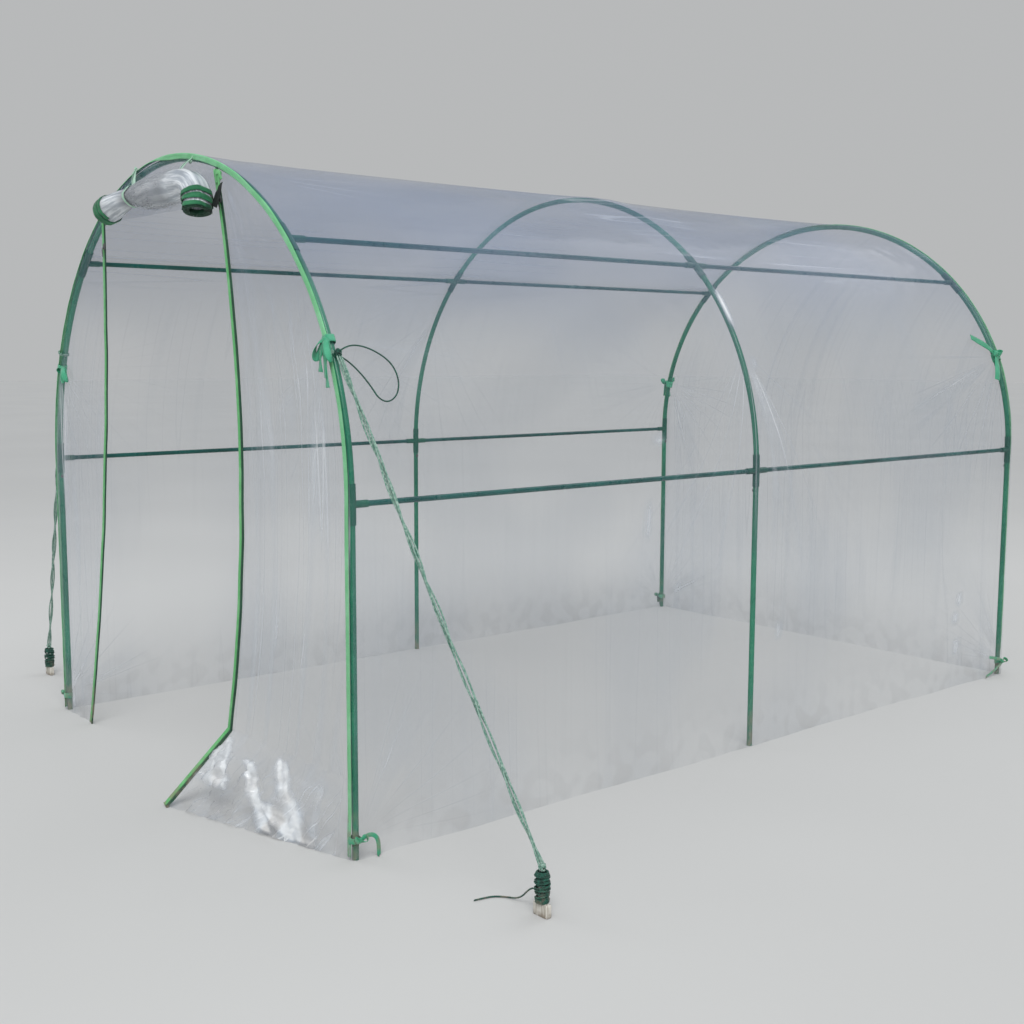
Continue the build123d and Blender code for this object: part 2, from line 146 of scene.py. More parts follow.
def even_line(line: np.ndarray, count: int) -> np.ndarray:
    """Spaces the places of a line evenly.

    Args:
        line: Places on the line, one a row.
        count: Number of places wanted.

    Returns:
        The new places, whose ends are the line's own.
    """
    steps = np.linalg.norm(np.diff(line, axis=0), axis=1)
    run = np.concatenate([[0.0], np.cumsum(steps)])
    wanted = np.linspace(0, run[-1], count)
    return np.column_stack([np.interp(wanted, run, line[:, k]) for k in range(line.shape[1])])


def line_length(line: np.ndarray) -> float:
    """Length of a line of places."""
    return float(np.linalg.norm(np.diff(line, axis=0), axis=1).sum())


def unit(vectors: np.ndarray) -> np.ndarray:
    """Vectors of length one along the given ones."""
    return vectors / np.maximum(np.linalg.norm(vectors, axis=-1, keepdims=True), 1e-12)


def step_up(value: np.ndarray, low: float, high: float) -> np.ndarray:
    """Smooth step from 0 at low to 1 at high; low may be over high, for a step down."""
    t = np.clip((np.asarray(value, float) - low) / (high - low), 0, 1)
    return t * t * (3 - 2 * t)


def sweep(path: np.ndarray, out: np.ndarray, profile: np.ndarray) -> np.ndarray:
    """Carries a cross-section along a path.

    Args:
        path: Places on the path, one a row.
        out: Direction that the cross-section's second coordinate points in, one a row or one for all.
        profile: Cross-section points as sideways and outward distances, one set for all or one a place.

    Returns:
        A grid of points, path places by profile points.
    """
    tangent = unit(np.gradient(path, axis=0))
    out = np.broadcast_to(out, path.shape)
    out = unit(out - tangent * (out * tangent).sum(1, keepdims=True))
    side = np.cross(out, tangent)
    profile = np.asarray(profile, float)
    if profile.ndim == 2:
        profile = np.broadcast_to(profile, (len(path),) + profile.shape)
    return path[:, None] + side[:, None] * profile[..., :1] + out[:, None] * profile[..., 1:]


# Shape of the tunnel


@dataclass(frozen=True)
class TunnelShape:
    """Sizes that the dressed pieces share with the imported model."""

    hoop_radius: float = 0.990
    leg_height: float = 0.970
    bay_length: float = 1.650
    tube_radius: float = 0.0095
    film_gap: float = 0.0133
    front_reach: float = 0.2093
    rear_reach: float = 0.034
    foot_tie: float = 0.058
    knot_gap: float = 0.0232

    @property
    def film_radius(self) -> float:
        """Radius of the film's middle over the arch."""
        return self.hoop_radius + self.film_gap

    @property
    def hoops(self) -> tuple[float, float, float]:
        """Places of the front, middle and rear hoop along the tunnel."""
        front = self.front_reach - (self.front_reach + 2 * self.bay_length + self.rear_reach) / 2
        return front, front + self.bay_length, front + 2 * self.bay_length

    @property
    def outline_length(self) -> float:
        """Length of the film from the ground on the right over the arch to the ground on the left."""
        return 2 * self.leg_height + pi * self.film_radius

    def hoop_y(self, end: TunnelEnd) -> float:
        """Place of the hoop at an end."""
        return self.hoops[1 + end]

    def face_y(self, end: TunnelEnd) -> float:
        """Place of the end film's middle."""
        return self.hoop_y(end) + end * self.film_gap

    def side_run(self, side: Side, distance: float) -> float:
        """Distance along the outline to a place that is that far up from the ground on a side."""
        return distance if side is Side.RIGHT else self.outline_length - distance

    def arch_run(self, side: Side, angle: float) -> float:
        """Distance along the outline to an angle of the arch, measured up from a side's spring line."""
        return self.side_run(side, self.leg_height + self.film_radius * radians(angle))

    def arch_z(self, x: float, radius: float) -> float:
        """Height of an arch of that radius over a place on the ground."""
        return self.leg_height + sqrt(radius ** 2 - x ** 2)

    def outline(self, run: np.ndarray, lift: Any = 0.0) -> tuple[np.ndarray, np.ndarray]:
        """Follows the film round the tunnel's section.

        Args:
            run: Distances along the outline from the ground on the right.
            lift: Distance outwards from the film's middle.

        Returns:
            The places and the outward directions, each as x, 0, z.
        """
        run = np.asarray(run, float)
        turn = np.clip((run - self.leg_height) / self.film_radius, 0, pi)
        drop = np.where(turn <= 0, self.leg_height - run,
                        np.where(turn >= pi, run - self.leg_height - pi * self.film_radius, 0.0))
        out = np.stack([np.cos(turn), np.zeros_like(turn), np.sin(turn)], -1)
        radius = np.asarray(self.film_radius + lift)[..., None]
        return out * radius + UP * (self.leg_height - drop)[..., None], out


SHAPE = TunnelShape()
EDGE_INSET = 0.0004
SKIRT_OUT = np.array((0.0425, -0.1594, 0.1314))


@dataclass(frozen=True)
class ZipLine:
    """A door edge on the front film, given from the arch down to its foot as x and z."""

    places: tuple[tuple[float, float], ...]

    def line(self, count: int) -> np.ndarray:
        """Even places on the edge as x and z, from the arch down."""
        knots = np.asarray(self.places)
        run = np.concatenate([[0], np.cumsum(np.linalg.norm(np.diff(knots, axis=0), axis=1))])
        t = np.linspace(0, run[-1], 400)
        bend = np.column_stack([np.polyval(np.polyfit(run, knots[:, k], 2), t) for k in range(2)])
        return even_line(bend, count)

    def x_at(self, z: np.ndarray) -> np.ndarray:
        """Place across the tunnel where the edge is at that height."""
        line = self.line(400)[::-1]
        return np.interp(z, line[:, 1], line[:, 0])


LEFT_ZIP = ZipLine(((-0.485, 1.83305), (-0.583, 0.675), (-0.745, 0.0)))
RIGHT_ZIP = ZipLine(((0.318, 1.90754), (0.426, 0.822), (0.328, 0.218)))


# Node trees and finishes


class NodeBoard:
    """Adds nodes to a tree and links them as they are written down."""

    def __init__(self, tree: bpy.types.NodeTree) -> None:
        """Starts on a tree.

        Args:
            tree: The node tree of a material, world or geometry tool.
        """
        self.tree = tree

    def add(self, kind: str, inputs: dict[Any, Any] | None = None, **settings: Any) -> bpy.types.Node:
        """Adds one node.

        Args:
            kind: Blender's name for the node's type.
            inputs: Values or other nodes' sockets for its inputs, by name or number.
            **settings: Values for the node's own properties.

        Returns:
            The node.
        """
        node = self.tree.nodes.new(kind)
        for name, value in settings.items():
            setattr(node, name, value)
        for key, value in (inputs or {}).items():
            if isinstance(value, bpy.types.NodeSocket):
                self.tree.links.new(value, node.inputs[key])
            else:
                node.inputs[key].default_value = value
        return node

    def math(self, operation: str, *values: Any, clamp: bool = False) -> bpy.types.NodeSocket:
        """Result of a sum on one to three values."""
        inputs = dict(enumerate(values))
        return self.add("ShaderNodeMath", inputs, operation=operation, use_clamp=clamp).outputs[0]

    def times(self, first: Any, second: Any, clamp: bool = False) -> bpy.types.NodeSocket:
        """Product of two values."""
        return self.math("MULTIPLY", first, second, clamp=clamp)

    def vector_math(self, operation: str, first: Any, second: Any, name: Any = 1) -> bpy.types.NodeSocket:
        """Result of a sum on two vectors, or on a vector and the number that goes in the named input."""
        return self.add("ShaderNodeVectorMath", {0: first, name: second}, operation=operation).outputs[0]

    def scaled(self, vector: Any, factor: Any) -> bpy.types.NodeSocket:
        """A vector times a number."""
        return self.vector_math("SCALE", vector, factor, "Scale")

    def noise(self, place: Any, scale: float, detail: float = 2.0,
              rough: float = 0.5) -> bpy.types.NodeSocket:
        """Noise from 0 to 1 at a place."""
        inputs = {"Vector": place, "Scale": scale, "Detail": detail, "Roughness": rough}
        return self.add("ShaderNodeTexNoise", inputs).outputs[0]

    def flat_noise(self, place: Any) -> bpy.types.NodeSocket:
        """Plain noise from 0 to 1 over the first two numbers of a vector."""
        inputs = {"Vector": place, "Scale": 1.0, "Detail": 0.0}
        return self.add("ShaderNodeTexNoise", inputs, noise_dimensions="2D").outputs[0]

    def ramp(self, value: Any, low: float, high: float, start: float = 0.0,
             end: float = 1.0) -> bpy.types.NodeSocket:
        """Value carried smoothly from start, where it is low, to end, where it is high."""
        inputs = {"Value": value, "From Min": low, "From Max": high, "To Min": start, "To Max": end}
        return self.add("ShaderNodeMapRange", inputs, interpolation_type="SMOOTHSTEP").outputs[0]

    def blend(self, share: Any, first: Any, second: Any) -> bpy.types.NodeSocket:
        """Colour between the first and the second, by that share."""
        colours = {0: share, 6: opaque(first), 7: opaque(second)}
        return self.add("ShaderNodeMix", colours, data_type="RGBA").outputs[2]

    def parts(self, vector: Any) -> tuple[bpy.types.NodeSocket, ...]:
        """The three numbers of a vector."""
        return tuple(self.add("ShaderNodeSeparateXYZ", {0: vector}).outputs)

    def join(self, x: Any, y: Any, z: Any) -> bpy.types.NodeSocket:
        """A vector of three numbers."""
        return self.add("ShaderNodeCombineXYZ", {0: x, 1: y, 2: z}).outputs[0]

    def place(self) -> bpy.types.NodeSocket:
        """Place on the object, in its own coordinates."""
        return self.add("ShaderNodeTexCoord").outputs["Object"]

    def cloth_place(self) -> bpy.types.NodeSocket:
        """Place on a woven piece: metres along it and across it."""
        return self.add("ShaderNodeTexCoord").outputs["UV"]

    def marks(self, name: str) -> bpy.types.NodeSocket:
        """Vector stored on the mesh under that name."""
        return self.add("ShaderNodeAttribute", attribute_name=name).outputs["Vector"]

    def bump(self, height: Any, strength: float, distance: float) -> bpy.types.NodeSocket:
        """Surface direction of a relief of that height."""
        inputs = {"Height": height, "Strength": strength, "Distance": distance}
        return self.add("ShaderNodeBump", inputs).outputs[0]

    def dust(self, reach: tuple[float, float], most: float, scale: float, patches: tuple[float, float],
             detail: float = 4.0) -> bpy.types.NodeSocket:
        """Share of dust on a surface near the ground.

        Args:
            reach: Heights at which the dust starts to thin out and at which it ends.
            most: Share at the ground.
            scale: Noise waves in a metre of its patches.
            patches: Noise values where a patch starts and where it is full.
            detail: Detail of the patches.

        Returns:
            Socket with the share.
        """
        low = self.ramp(self.parts(self.place())[2], *reach, most, 0.0)
        return self.times(low, self.ramp(self.noise(self.place(), scale, detail), *patches))

    def shader(self, colour: Any, rough: Any, **inputs: Any) -> bpy.types.NodeSocket:
        """Principled shader, with further inputs by name with underscores for blanks."""
        named = {key.replace("_", " "): value for key, value in inputs.items()}
        named.update({"Base Color": colour, "Roughness": rough})
        return self.add("ShaderNodeBsdfPrincipled", named).outputs[0]


def opaque(colour: Any) -> Any:
    """Colour with full opacity added, where it is three plain numbers."""
    return (*colour, 1.0) if isinstance(colour, tuple) else colour


Colour = tuple[float, float, float]
DUST: Colour = (0.33, 0.26, 0.19)


@dataclass(frozen=True)
class Finish:
    """A surface finish, built once and shared by the pieces that have it."""

    name: str

    def material(self) -> bpy.types.Material:
        """Builds the finish's material, or finds it where it is built already."""
        found = bpy.data.materials.get(self.name + "_finish")
        if found:
            return found
        made = bpy.data.materials.new(self.name + "_finish")
        made.use_nodes = True
        made.node_tree.nodes.clear()
        board = NodeBoard(made.node_tree)
        board.add("ShaderNodeOutputMaterial", {"Surface": self.surface(board)})
        return made

    def surface(self, board: NodeBoard) -> bpy.types.NodeSocket:
        """Shader of the finish."""
        raise NotImplementedError


@dataclass(frozen=True)
class CoatedSteel(Finish):
    """Plastic-coated steel tube: satin, a little mottled, rubbed in places, dusty at the ground."""

    coat: Colour
    light: Colour
    gloss: float
    rubbed: Colour = (0.30, 0.42, 0.38)

    def surface(self, board: NodeBoard) -> bpy.types.NodeSocket:
        """Shader of the coat."""
        place = board.place()
        mottle = board.ramp(board.noise(place, 5.0, 4.0), 0.35, 0.68)
        rub = board.ramp(board.noise(place, 55.0, 5.0, 0.65), 0.60, 0.76)
        dust = board.dust((0.015, 0.20), 1.0, 26.0, (0.30, 0.66))
        colour = board.blend(board.times(rub, 0.30), board.blend(mottle, self.coat, self.light), self.rubbed)
        colour = board.blend(board.times(dust, 0.75), colour, DUST)
        rough = board.ramp(board.noise(place, 30.0, 3.0), 0.3, 0.7, self.gloss - 0.07, self.gloss + 0.12)
        relief = board.bump(board.noise(place, 420.0), 0.10, 0.0004)
        return board.shader(colour, board.math("MULTIPLY_ADD", dust, 0.35, rough), Normal=relief,
                            Coat_Weight=0.12, Coat_Roughness=0.2)


@dataclass(frozen=True)
class ClearFilm(Finish):
    """Thin clear sheet: hazy, with pale creases that run with its folds, and dusty at the ground. Its roof
    gets a painted sky reflection, a bluer and darker tint with more opacity; the creases' paleness is partly
    painted highlight and its glints are painted highlights.
    """

    haze: Colour = (0.30, 0.37, 0.47)
    # roof tint: painted sky reflection, bluer and darker than the walls' haze
    roof_sky_reflection: Colour = (0.16, 0.24, 0.41)
    # crease colour: the folds' own paleness, partly painted highlight along them
    crease_and_highlight: Colour = (0.92, 0.95, 0.97)
    least: float = 0.06
    most: float = 0.15
    fine_share: float = 0.60
    broad_share: float = 0.34
    crease_and_highlight_share: float = 0.60
    # opacity of the painted highlights (glints, skirt crumples) and of the skirt's faint haze
    milk_and_glint_share: float = 0.75
    # extra opacity on the roof: painted sky reflection
    roof_reflection_share: float = 0.25
    splash_share: float = 0.08
    gloss: float = 0.16

    def lines(self, board: NodeBoard, marks: Any, count: float, width: float, drift: float) -> Any:
        """Thin lines along the folds.

        Args:
            board: The material's board.
            marks: Vector with the distance across the folds, the distance along them and their strength.
            count: Noise waves in a metre across the folds.
            width: Share of a wave that a line takes.
            drift: Noise waves in a metre along the folds.

        Returns:
            Socket with 1 on a line's middle and 0 off it.
        """
        stretch = board.vector_math("MULTIPLY", marks, (count, drift, 0.0))
        noise = board.flat_noise(board.vector_math("ADD", stretch, (count, 0.37 * count, 0.0)))
        return board.ramp(board.math("ABSOLUTE", board.math("SUBTRACT", noise, 0.5)), 0.0, width, 1.0, 0.0)

    def creases(self, board: NodeBoard, cloud: Any) -> Any:
        """Strength of the creases: fine and broad lines along the pleats and along the fans of folds, whose
        whitening is partly painted highlight.
        """
        found = 0.0
        for name, fine, broad in (("pleat", (15.0, 0.030, 0.45), (5.0, 0.070, 0.30)),
                                  ("fan", (13.0, 0.030, 0.25), (6.0, 0.060, 0.20))):
            marks = board.marks(name)
            lines = board.math("ADD", board.times(self.lines(board, marks, *fine), self.fine_share),
                               board.times(self.lines(board, marks, *broad), self.broad_share))
            found = board.math("MULTIPLY_ADD", lines, board.parts(marks)[2], found)
        return board.times(found, board.ramp(cloud, 0.34, 0.56, 0.35, 1.0), clamp=True)

    def surface(self, board: NodeBoard) -> bpy.types.NodeSocket:
        """Shader of the film, whose opacity is the haze and the creases."""
        height, flat = board.parts(board.place())[2], board.cloth_place()
        cloud, speck, dent = (board.flat_noise(board.scaled(flat, waves)) for waves in (1.6, 15.0, 14.0))
        crease_and_highlight, milk = self.creases(board, cloud), board.parts(board.marks("milk"))[0]
        # painted sky reflection: the roof's tint and extra opacity grow with height
        roof = board.ramp(height, 1.30, 1.80)
        splash = board.times(board.ramp(height, 0.0, 0.26, 1.0, 0.0), board.ramp(speck, 0.44, 0.66))
        opacity = board.ramp(cloud, 0.36, 0.68, self.least, self.most)
        for mark, share in ((roof, self.roof_reflection_share), (crease_and_highlight, self.crease_and_highlight_share), (milk, self.milk_and_glint_share),
                            (splash, self.splash_share)):
            opacity = board.math("MULTIPLY_ADD", mark, share, opacity)
        colour = board.blend(roof, self.haze, self.roof_sky_reflection)
        # creases, glints and crumples whitened: painted highlight, partly the creases' own paleness
        colour = board.blend(board.math("MAXIMUM", crease_and_highlight, milk), colour, self.crease_and_highlight)
        colour = board.blend(board.times(splash, 0.35), colour, DUST)
        rough = board.ramp(cloud, 0.3, 0.7, self.gloss - 0.04, self.gloss + 0.10)
        return board.shader(colour, rough, Alpha=board.math("MINIMUM", opacity, 0.92),
                            Normal=board.bump(dent, 0.30, 0.004), IOR=1.5)


@dataclass(frozen=True)
class RolledFilm(Finish):
    """Many layers of the clear sheet on each other: milky, streaked along the roll, thin in its middle."""

    milk: Colour = (0.84, 0.88, 0.91)
    shade: Colour = (0.44, 0.49, 0.55)
    middle: Colour = (0.47, 0.50, 0.54)
    opacity: float = 0.80
    thin: float = 0.48
    thin_from: float = -0.24
    thin_to: float = 0.20

    def surface(self, board: NodeBoard) -> bpy.types.NodeSocket:
        """Shader of the rolled film."""
        place = board.place()
        stretch = board.vector_math("MULTIPLY", board.cloth_place(), (9.0, 120.0, 0.0))
        streak = board.noise(stretch, 1.0, 4.0, 0.6)
        light = board.ramp(streak, 0.36, 0.64)
        x = board.parts(place)[0]
        middle = board.times(board.ramp(x, self.thin_from, self.thin_from + 0.09),
                             board.ramp(x, self.thin_to - 0.07, self.thin_to, 1.0, 0.0))
        cloud = board.noise(place, 12.0, 3.0)
        cover = board.ramp(cloud, 0.32, 0.68, self.opacity - 0.14, self.opacity + 0.14)
        cover = board.math("MULTIPLY_ADD", light, 0.10, cover, clamp=True)
        cover = board.times(cover, board.ramp(middle, 0.0, 1.0, 1.0, 1.0 - self.thin))
        colour = board.blend(light, self.shade, self.milk)
        colour = board.blend(board.times(middle, 0.7), colour, self.middle)
        return board.shader(colour, board.ramp(streak, 0.3, 0.7, 0.16, 0.34), Alpha=cover,
                            Normal=board.bump(streak, 0.5, 0.003))


@dataclass(frozen=True)
class WovenTape(Finish):
    """Woven plastic tape: fine ribs along it and a weave across them, a little faded and dusty."""

    thread: Colour
    gap: Colour
    faded: Colour
    rib: float = 0.0014
    rough: float = 0.68
    sheen: float = 0.15

    def surface(self, board: NodeBoard) -> bpy.types.NodeSocket:
        """Shader of the tape."""
        along, across, _ = board.parts(board.cloth_place())
        place = board.place()
        ribs = board.math("SINE", board.times(across, 2 * pi / self.rib))
        weft = board.math("SINE", board.times(along, 2 * pi / (0.8 * self.rib)))
        weave = board.ramp(board.math("MULTIPLY_ADD", weft, 0.6, ribs), -1.3, 1.2)
        fade = board.ramp(board.noise(place, 18.0, 4.0, 0.6), 0.40, 0.70)
        colour = board.blend(board.times(fade, 0.55), board.blend(weave, self.gap, self.thread), self.faded)
        colour = board.blend(board.dust((0.01, 0.22), 0.65, 40.0, (0.35, 0.62)), colour, DUST)
        rough = board.ramp(board.noise(place, 50.0, 3.0), 0.3, 0.7, self.rough - 0.08, self.rough + 0.10)
        return board.shader(colour, rough, Normal=board.bump(weave, 0.55, 0.0005), Sheen_Weight=self.sheen,
                            Sheen_Roughness=0.4)


@dataclass(frozen=True)
class LaidCord(Finish):
    """Twisted plastic cord: pale rubbed threads over darker ones."""

    thread: Colour
    light: Colour
    rough: float = 0.62

    def surface(self, board: NodeBoard) -> bpy.types.NodeSocket:
        """Shader of the cord."""
        strand = board.noise(board.place(), 140.0, 4.0, 0.6)
        colour = board.blend(board.ramp(strand, 0.36, 0.66), self.thread, self.light)
        colour = board.blend(board.dust((0.004, 0.09), 0.6, 60.0, (0.4, 0.62), 3.0), colour, DUST)
        rough = board.ramp(strand, 0.3, 0.7, self.rough - 0.1, self.rough + 0.12)
        relief = board.bump(board.noise(board.place(), 900.0, 3.0), 0.5, 0.0004)
        return board.shader(colour, rough, Normal=relief, Sheen_Weight=0.2)


@dataclass(frozen=True)
class PaleWood(Finish):
    """Bare weathered wood whose grain runs upright."""

    pale: Colour = (0.72, 0.69, 0.62)
    grain: Colour = (0.45, 0.41, 0.34)

    def surface(self, board: NodeBoard) -> bpy.types.NodeSocket:
        """Shader of the wood."""
        stretch = board.vector_math("MULTIPLY", board.place(), (260.0, 260.0, 14.0))
        rings = board.noise(stretch, 1.0, 5.0, 0.6)
        colour = board.blend(board.ramp(rings, 0.44, 0.62), self.pale, self.grain)
        colour = board.blend(board.dust((0.0, 0.018), 0.9, 60.0, (0.3, 0.6)), colour, DUST)
        return board.shader(colour, board.ramp(rings, 0.3, 0.7, 0.62, 0.82),
                            Normal=board.bump(rings, 0.6, 0.0012))


@dataclass(frozen=True)
class DullZinc(Finish):
    """Dull plated metal of the bolts and zip sliders."""

    metal: Colour = (0.20, 0.22, 0.22)
    stain: Colour = (0.10, 0.085, 0.07)

    def surface(self, board: NodeBoard) -> bpy.types.NodeSocket:
        """Shader of the metal."""
        spots = board.noise(board.place(), 210.0, 4.0, 0.6)
        colour = board.blend(board.ramp(spots, 0.45, 0.70), self.metal, self.stain)
        return board.shader(colour, board.ramp(spots, 0.3, 0.7, 0.32, 0.58), Metallic=0.8,
                            Normal=board.bump(spots, 0.2, 0.0003))


@dataclass(frozen=True)
class StudioFloor(Finish):
    """Pale matte floor that keeps shadows."""

    pale: Colour = (0.66, 0.66, 0.645)

    def surface(self, board: NodeBoard) -> bpy.types.NodeSocket:
        """Shader of the floor."""
        cloud = board.ramp(board.noise(board.place(), 0.5), 0.3, 0.7)
        colour = board.blend(cloud, self.pale, tuple(0.97 * c for c in self.pale))
        return board.shader(colour, 0.9, Specular_IOR_Level=0.15)


HOOP_COAT = CoatedSteel("hoop_coat", (0.010, 0.160, 0.088), (0.021, 0.240, 0.130), 0.30)
CONNECTOR_COAT = CoatedSteel("connector_coat", (0.004, 0.085, 0.055), (0.009, 0.135, 0.080), 0.38)
PURLIN_COAT = CoatedSteel("purlin_coat", (0.001, 0.065, 0.055), (0.004, 0.115, 0.094), 0.30)
COVER_FILM = ClearFilm("clear_film")
PLEATED_FILM = ClearFilm("pleated_film", broad_share=0.48, roof_reflection_share=0.06)
ROLLED_FILM = RolledFilm("rolled_film")
ZIP_TAPE = WovenTape("zip_tape", (0.170, 0.600, 0.215), (0.075, 0.380, 0.115), (0.290, 0.680, 0.320))
# dark finish: the coil's own colour, also used as painted shade on the zips' shaded side and inside the
# roll's mouth
ZIP_COIL_AND_SHADE = WovenTape("zip_coil", (0.004, 0.075, 0.032), (0.002, 0.035, 0.016), (0.012, 0.120, 0.055),
                     rough=0.45)
# hem tape brighter than its own green: painted light shining through it from behind
HEM_TAPE = WovenTape("hem_tape", (0.240, 0.730, 0.340), (0.120, 0.460, 0.190), (0.340, 0.770, 0.460))
HEM_THREAD = WovenTape("hem_thread", (0.450, 0.800, 0.560), (0.240, 0.600, 0.360), (0.520, 0.820, 0.620))
DARK_TAPE = WovenTape("dark_tape", (0.010, 0.190, 0.070), (0.003, 0.080, 0.032), (0.060, 0.340, 0.150))
RIBBON = WovenTape("ribbon", (0.060, 0.500, 0.260), (0.025, 0.310, 0.160), (0.160, 0.600, 0.380),
                   0.0011, 0.42, 0.3)
PALE_RIBBON = WovenTape("pale_ribbon", (0.520, 0.780, 0.610), (0.330, 0.600, 0.430), (0.600, 0.820, 0.680),
                        0.0011)
ROPE = LaidCord("rope", (0.100, 0.260, 0.190), (0.360, 0.520, 0.440))
DARK_CORD = LaidCord("dark_cord", (0.003, 0.042, 0.028), (0.012, 0.130, 0.085))
BLACK_STRAP = WovenTape("black_strap", (0.005, 0.010, 0.009), (0.002, 0.005, 0.004), (0.010, 0.018, 0.016),
                        sheen=0.0)
STAKE_WOOD = PaleWood("stake")
ZINC = DullZinc("dull_zinc")
FLOOR = StudioFloor("studio_floor")


# Meshes


@dataclass
class Patch:
    """A grid of points that becomes part of a mesh."""

    points: np.ndarray
    cloth: np.ndarray | None = None
    marks: dict[str, np.ndarray] = field(default_factory=dict)
    finish: int = 0

    def cloth_places(self) -> np.ndarray:
        """Metres along and across the patch, for its weave."""
        if self.cloth is not None:
            return self.cloth
        along = np.linalg.norm(np.diff(self.points, axis=0), axis=2).mean(1)
        across = np.linalg.norm(np.diff(self.points, axis=1), axis=2).mean(0)
        u = np.concatenate([[0], np.cumsum(along)])
        v = np.concatenate([[0], np.cumsum(across)])
        return np.stack(np.meshgrid(u, v, indexing="ij"), -1)

    def area(self) -> float:
        """Area of the patch's surface."""
        p = self.points
        first = np.cross(p[1:, :-1] - p[:-1, :-1], p[:-1, 1:] - p[:-1, :-1])
        second = np.cross(p[1:, 1:] - p[1:, :-1], p[:-1, 1:] - p[1:, :-1])
        return float((np.linalg.norm(first, axis=2) + np.linalg.norm(second, axis=2)).sum() / 2)


def link(name: str, data: Any) -> bpy.types.Object:
    """Puts a mesh, curve, lamp or camera in the scene as a new object."""
    made = bpy.data.objects.new(name, data)
    bpy.context.scene.collection.objects.link(made)
    return made


def bare_mesh(name: str, points: Any, edges: Any = (), faces: Any = (), **marks: Any) -> bpy.types.Mesh:
    """Makes a mesh from lists.

    Args:
        name: The mesh's name.
        points: Its places, one a row.
        edges: Pairs of point numbers.
        faces: Point numbers of each face.
        **marks: Vectors to store at the points, under each name.

    Returns:
        The mesh.
    """
    mesh = bpy.data.meshes.new(name)
    mesh.from_pydata(np.asarray(points).tolist(), edges, faces)
    for mark, values in marks.items():
        layer = mesh.attributes.new(mark, "FLOAT_VECTOR", "POINT")
        layer.data.foreach_set("vector", np.asarray(values, np.float32).reshape(-1))
    return mesh


def patch_mesh(name: str, patches: Sequence[Patch], flip: bool = False) -> bpy.types.Mesh:
    """Joins grids of points into one mesh.

    Args:
        name: The mesh's name.
        patches: The grids.
        flip: True to turn the faces over.

    Returns:
        The mesh, with its weave coordinates and marks.
    """
    points, quads, cloth, slots, start = [], [], [], [], 0
    for patch in patches:
        rows, columns = patch.points.shape[:2]
        number = np.arange(rows * columns).reshape(rows, columns) + start
        corners = [number[:-1, :-1], number[1:, :-1], number[1:, 1:], number[:-1, 1:]]
        quad = np.stack(corners, -1).reshape(-1, 4)
        quads.append(quad[:, ::-1] if flip else quad)
        points.append(patch.points.reshape(-1, 3))
        cloth.append(patch.cloth_places().reshape(-1, 2))
        slots.append(np.full(len(quad), patch.finish))
        start += rows * columns
    points, quads, cloth = np.concatenate(points), np.concatenate(quads), np.concatenate(cloth)
    marks = {mark: np.concatenate([patch.marks.get(mark, np.zeros(patch.points.shape)).reshape(-1, 3)
                                   for patch in patches])
             for mark in sorted({key for patch in patches for key in patch.marks})}
    mesh = bare_mesh(name, points, [], quads.tolist(), **marks)
    uv = cloth[quads.reshape(-1)].reshape(-1).astype(np.float32)
    mesh.uv_layers.new(name="UVMap").data.foreach_set("uv", uv)
    mesh.polygons.foreach_set("material_index", np.concatenate(slots).astype(np.int32))
    form = bmesh.new()
    form.from_mesh(mesh)
    bmesh.ops.remove_doubles(form, verts=form.verts, dist=1e-6)
    form.to_mesh(mesh)
    form.free()
    mesh.shade_smooth()
    return mesh


def show(name: str, patches: Sequence[Patch], *finishes: Finish, flip: bool = False,
         thickness: float = 0.0) -> bpy.types.Object:
    """Puts grids of points in the scene as one piece.

    Args:
        name: The piece's name.
        patches: The grids.
        *finishes: Its finishes, in the order that the patches number them.
        flip: True to turn the faces over.
        thickness: Thickness to give a strap or ribbon, half on each side.

    Returns:
        The piece.
    """
    piece = link(name, patch_mesh(name, patches, flip))
    for finish in finishes:
        piece.data.materials.append(finish.material())
    if thickness:
        wall = piece.modifiers.new("thickness", "SOLIDIFY")
        wall.thickness, wall.offset = thickness, 0.0
    return piece


def fit(piece: bpy.types.Object, slot: str, *nodes: str) -> None:
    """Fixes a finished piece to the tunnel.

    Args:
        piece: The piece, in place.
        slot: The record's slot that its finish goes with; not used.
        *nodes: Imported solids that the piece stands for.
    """
    if nodes:
        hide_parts(*nodes)
    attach(piece, "root")
    stands_for = ", ".join(nodes) or "detail"
    log.info("%s: %d faces, stands for %s", piece.name, len(piece.data.polygons), stands_for)


# Geometry tools for what repeats or is twisted


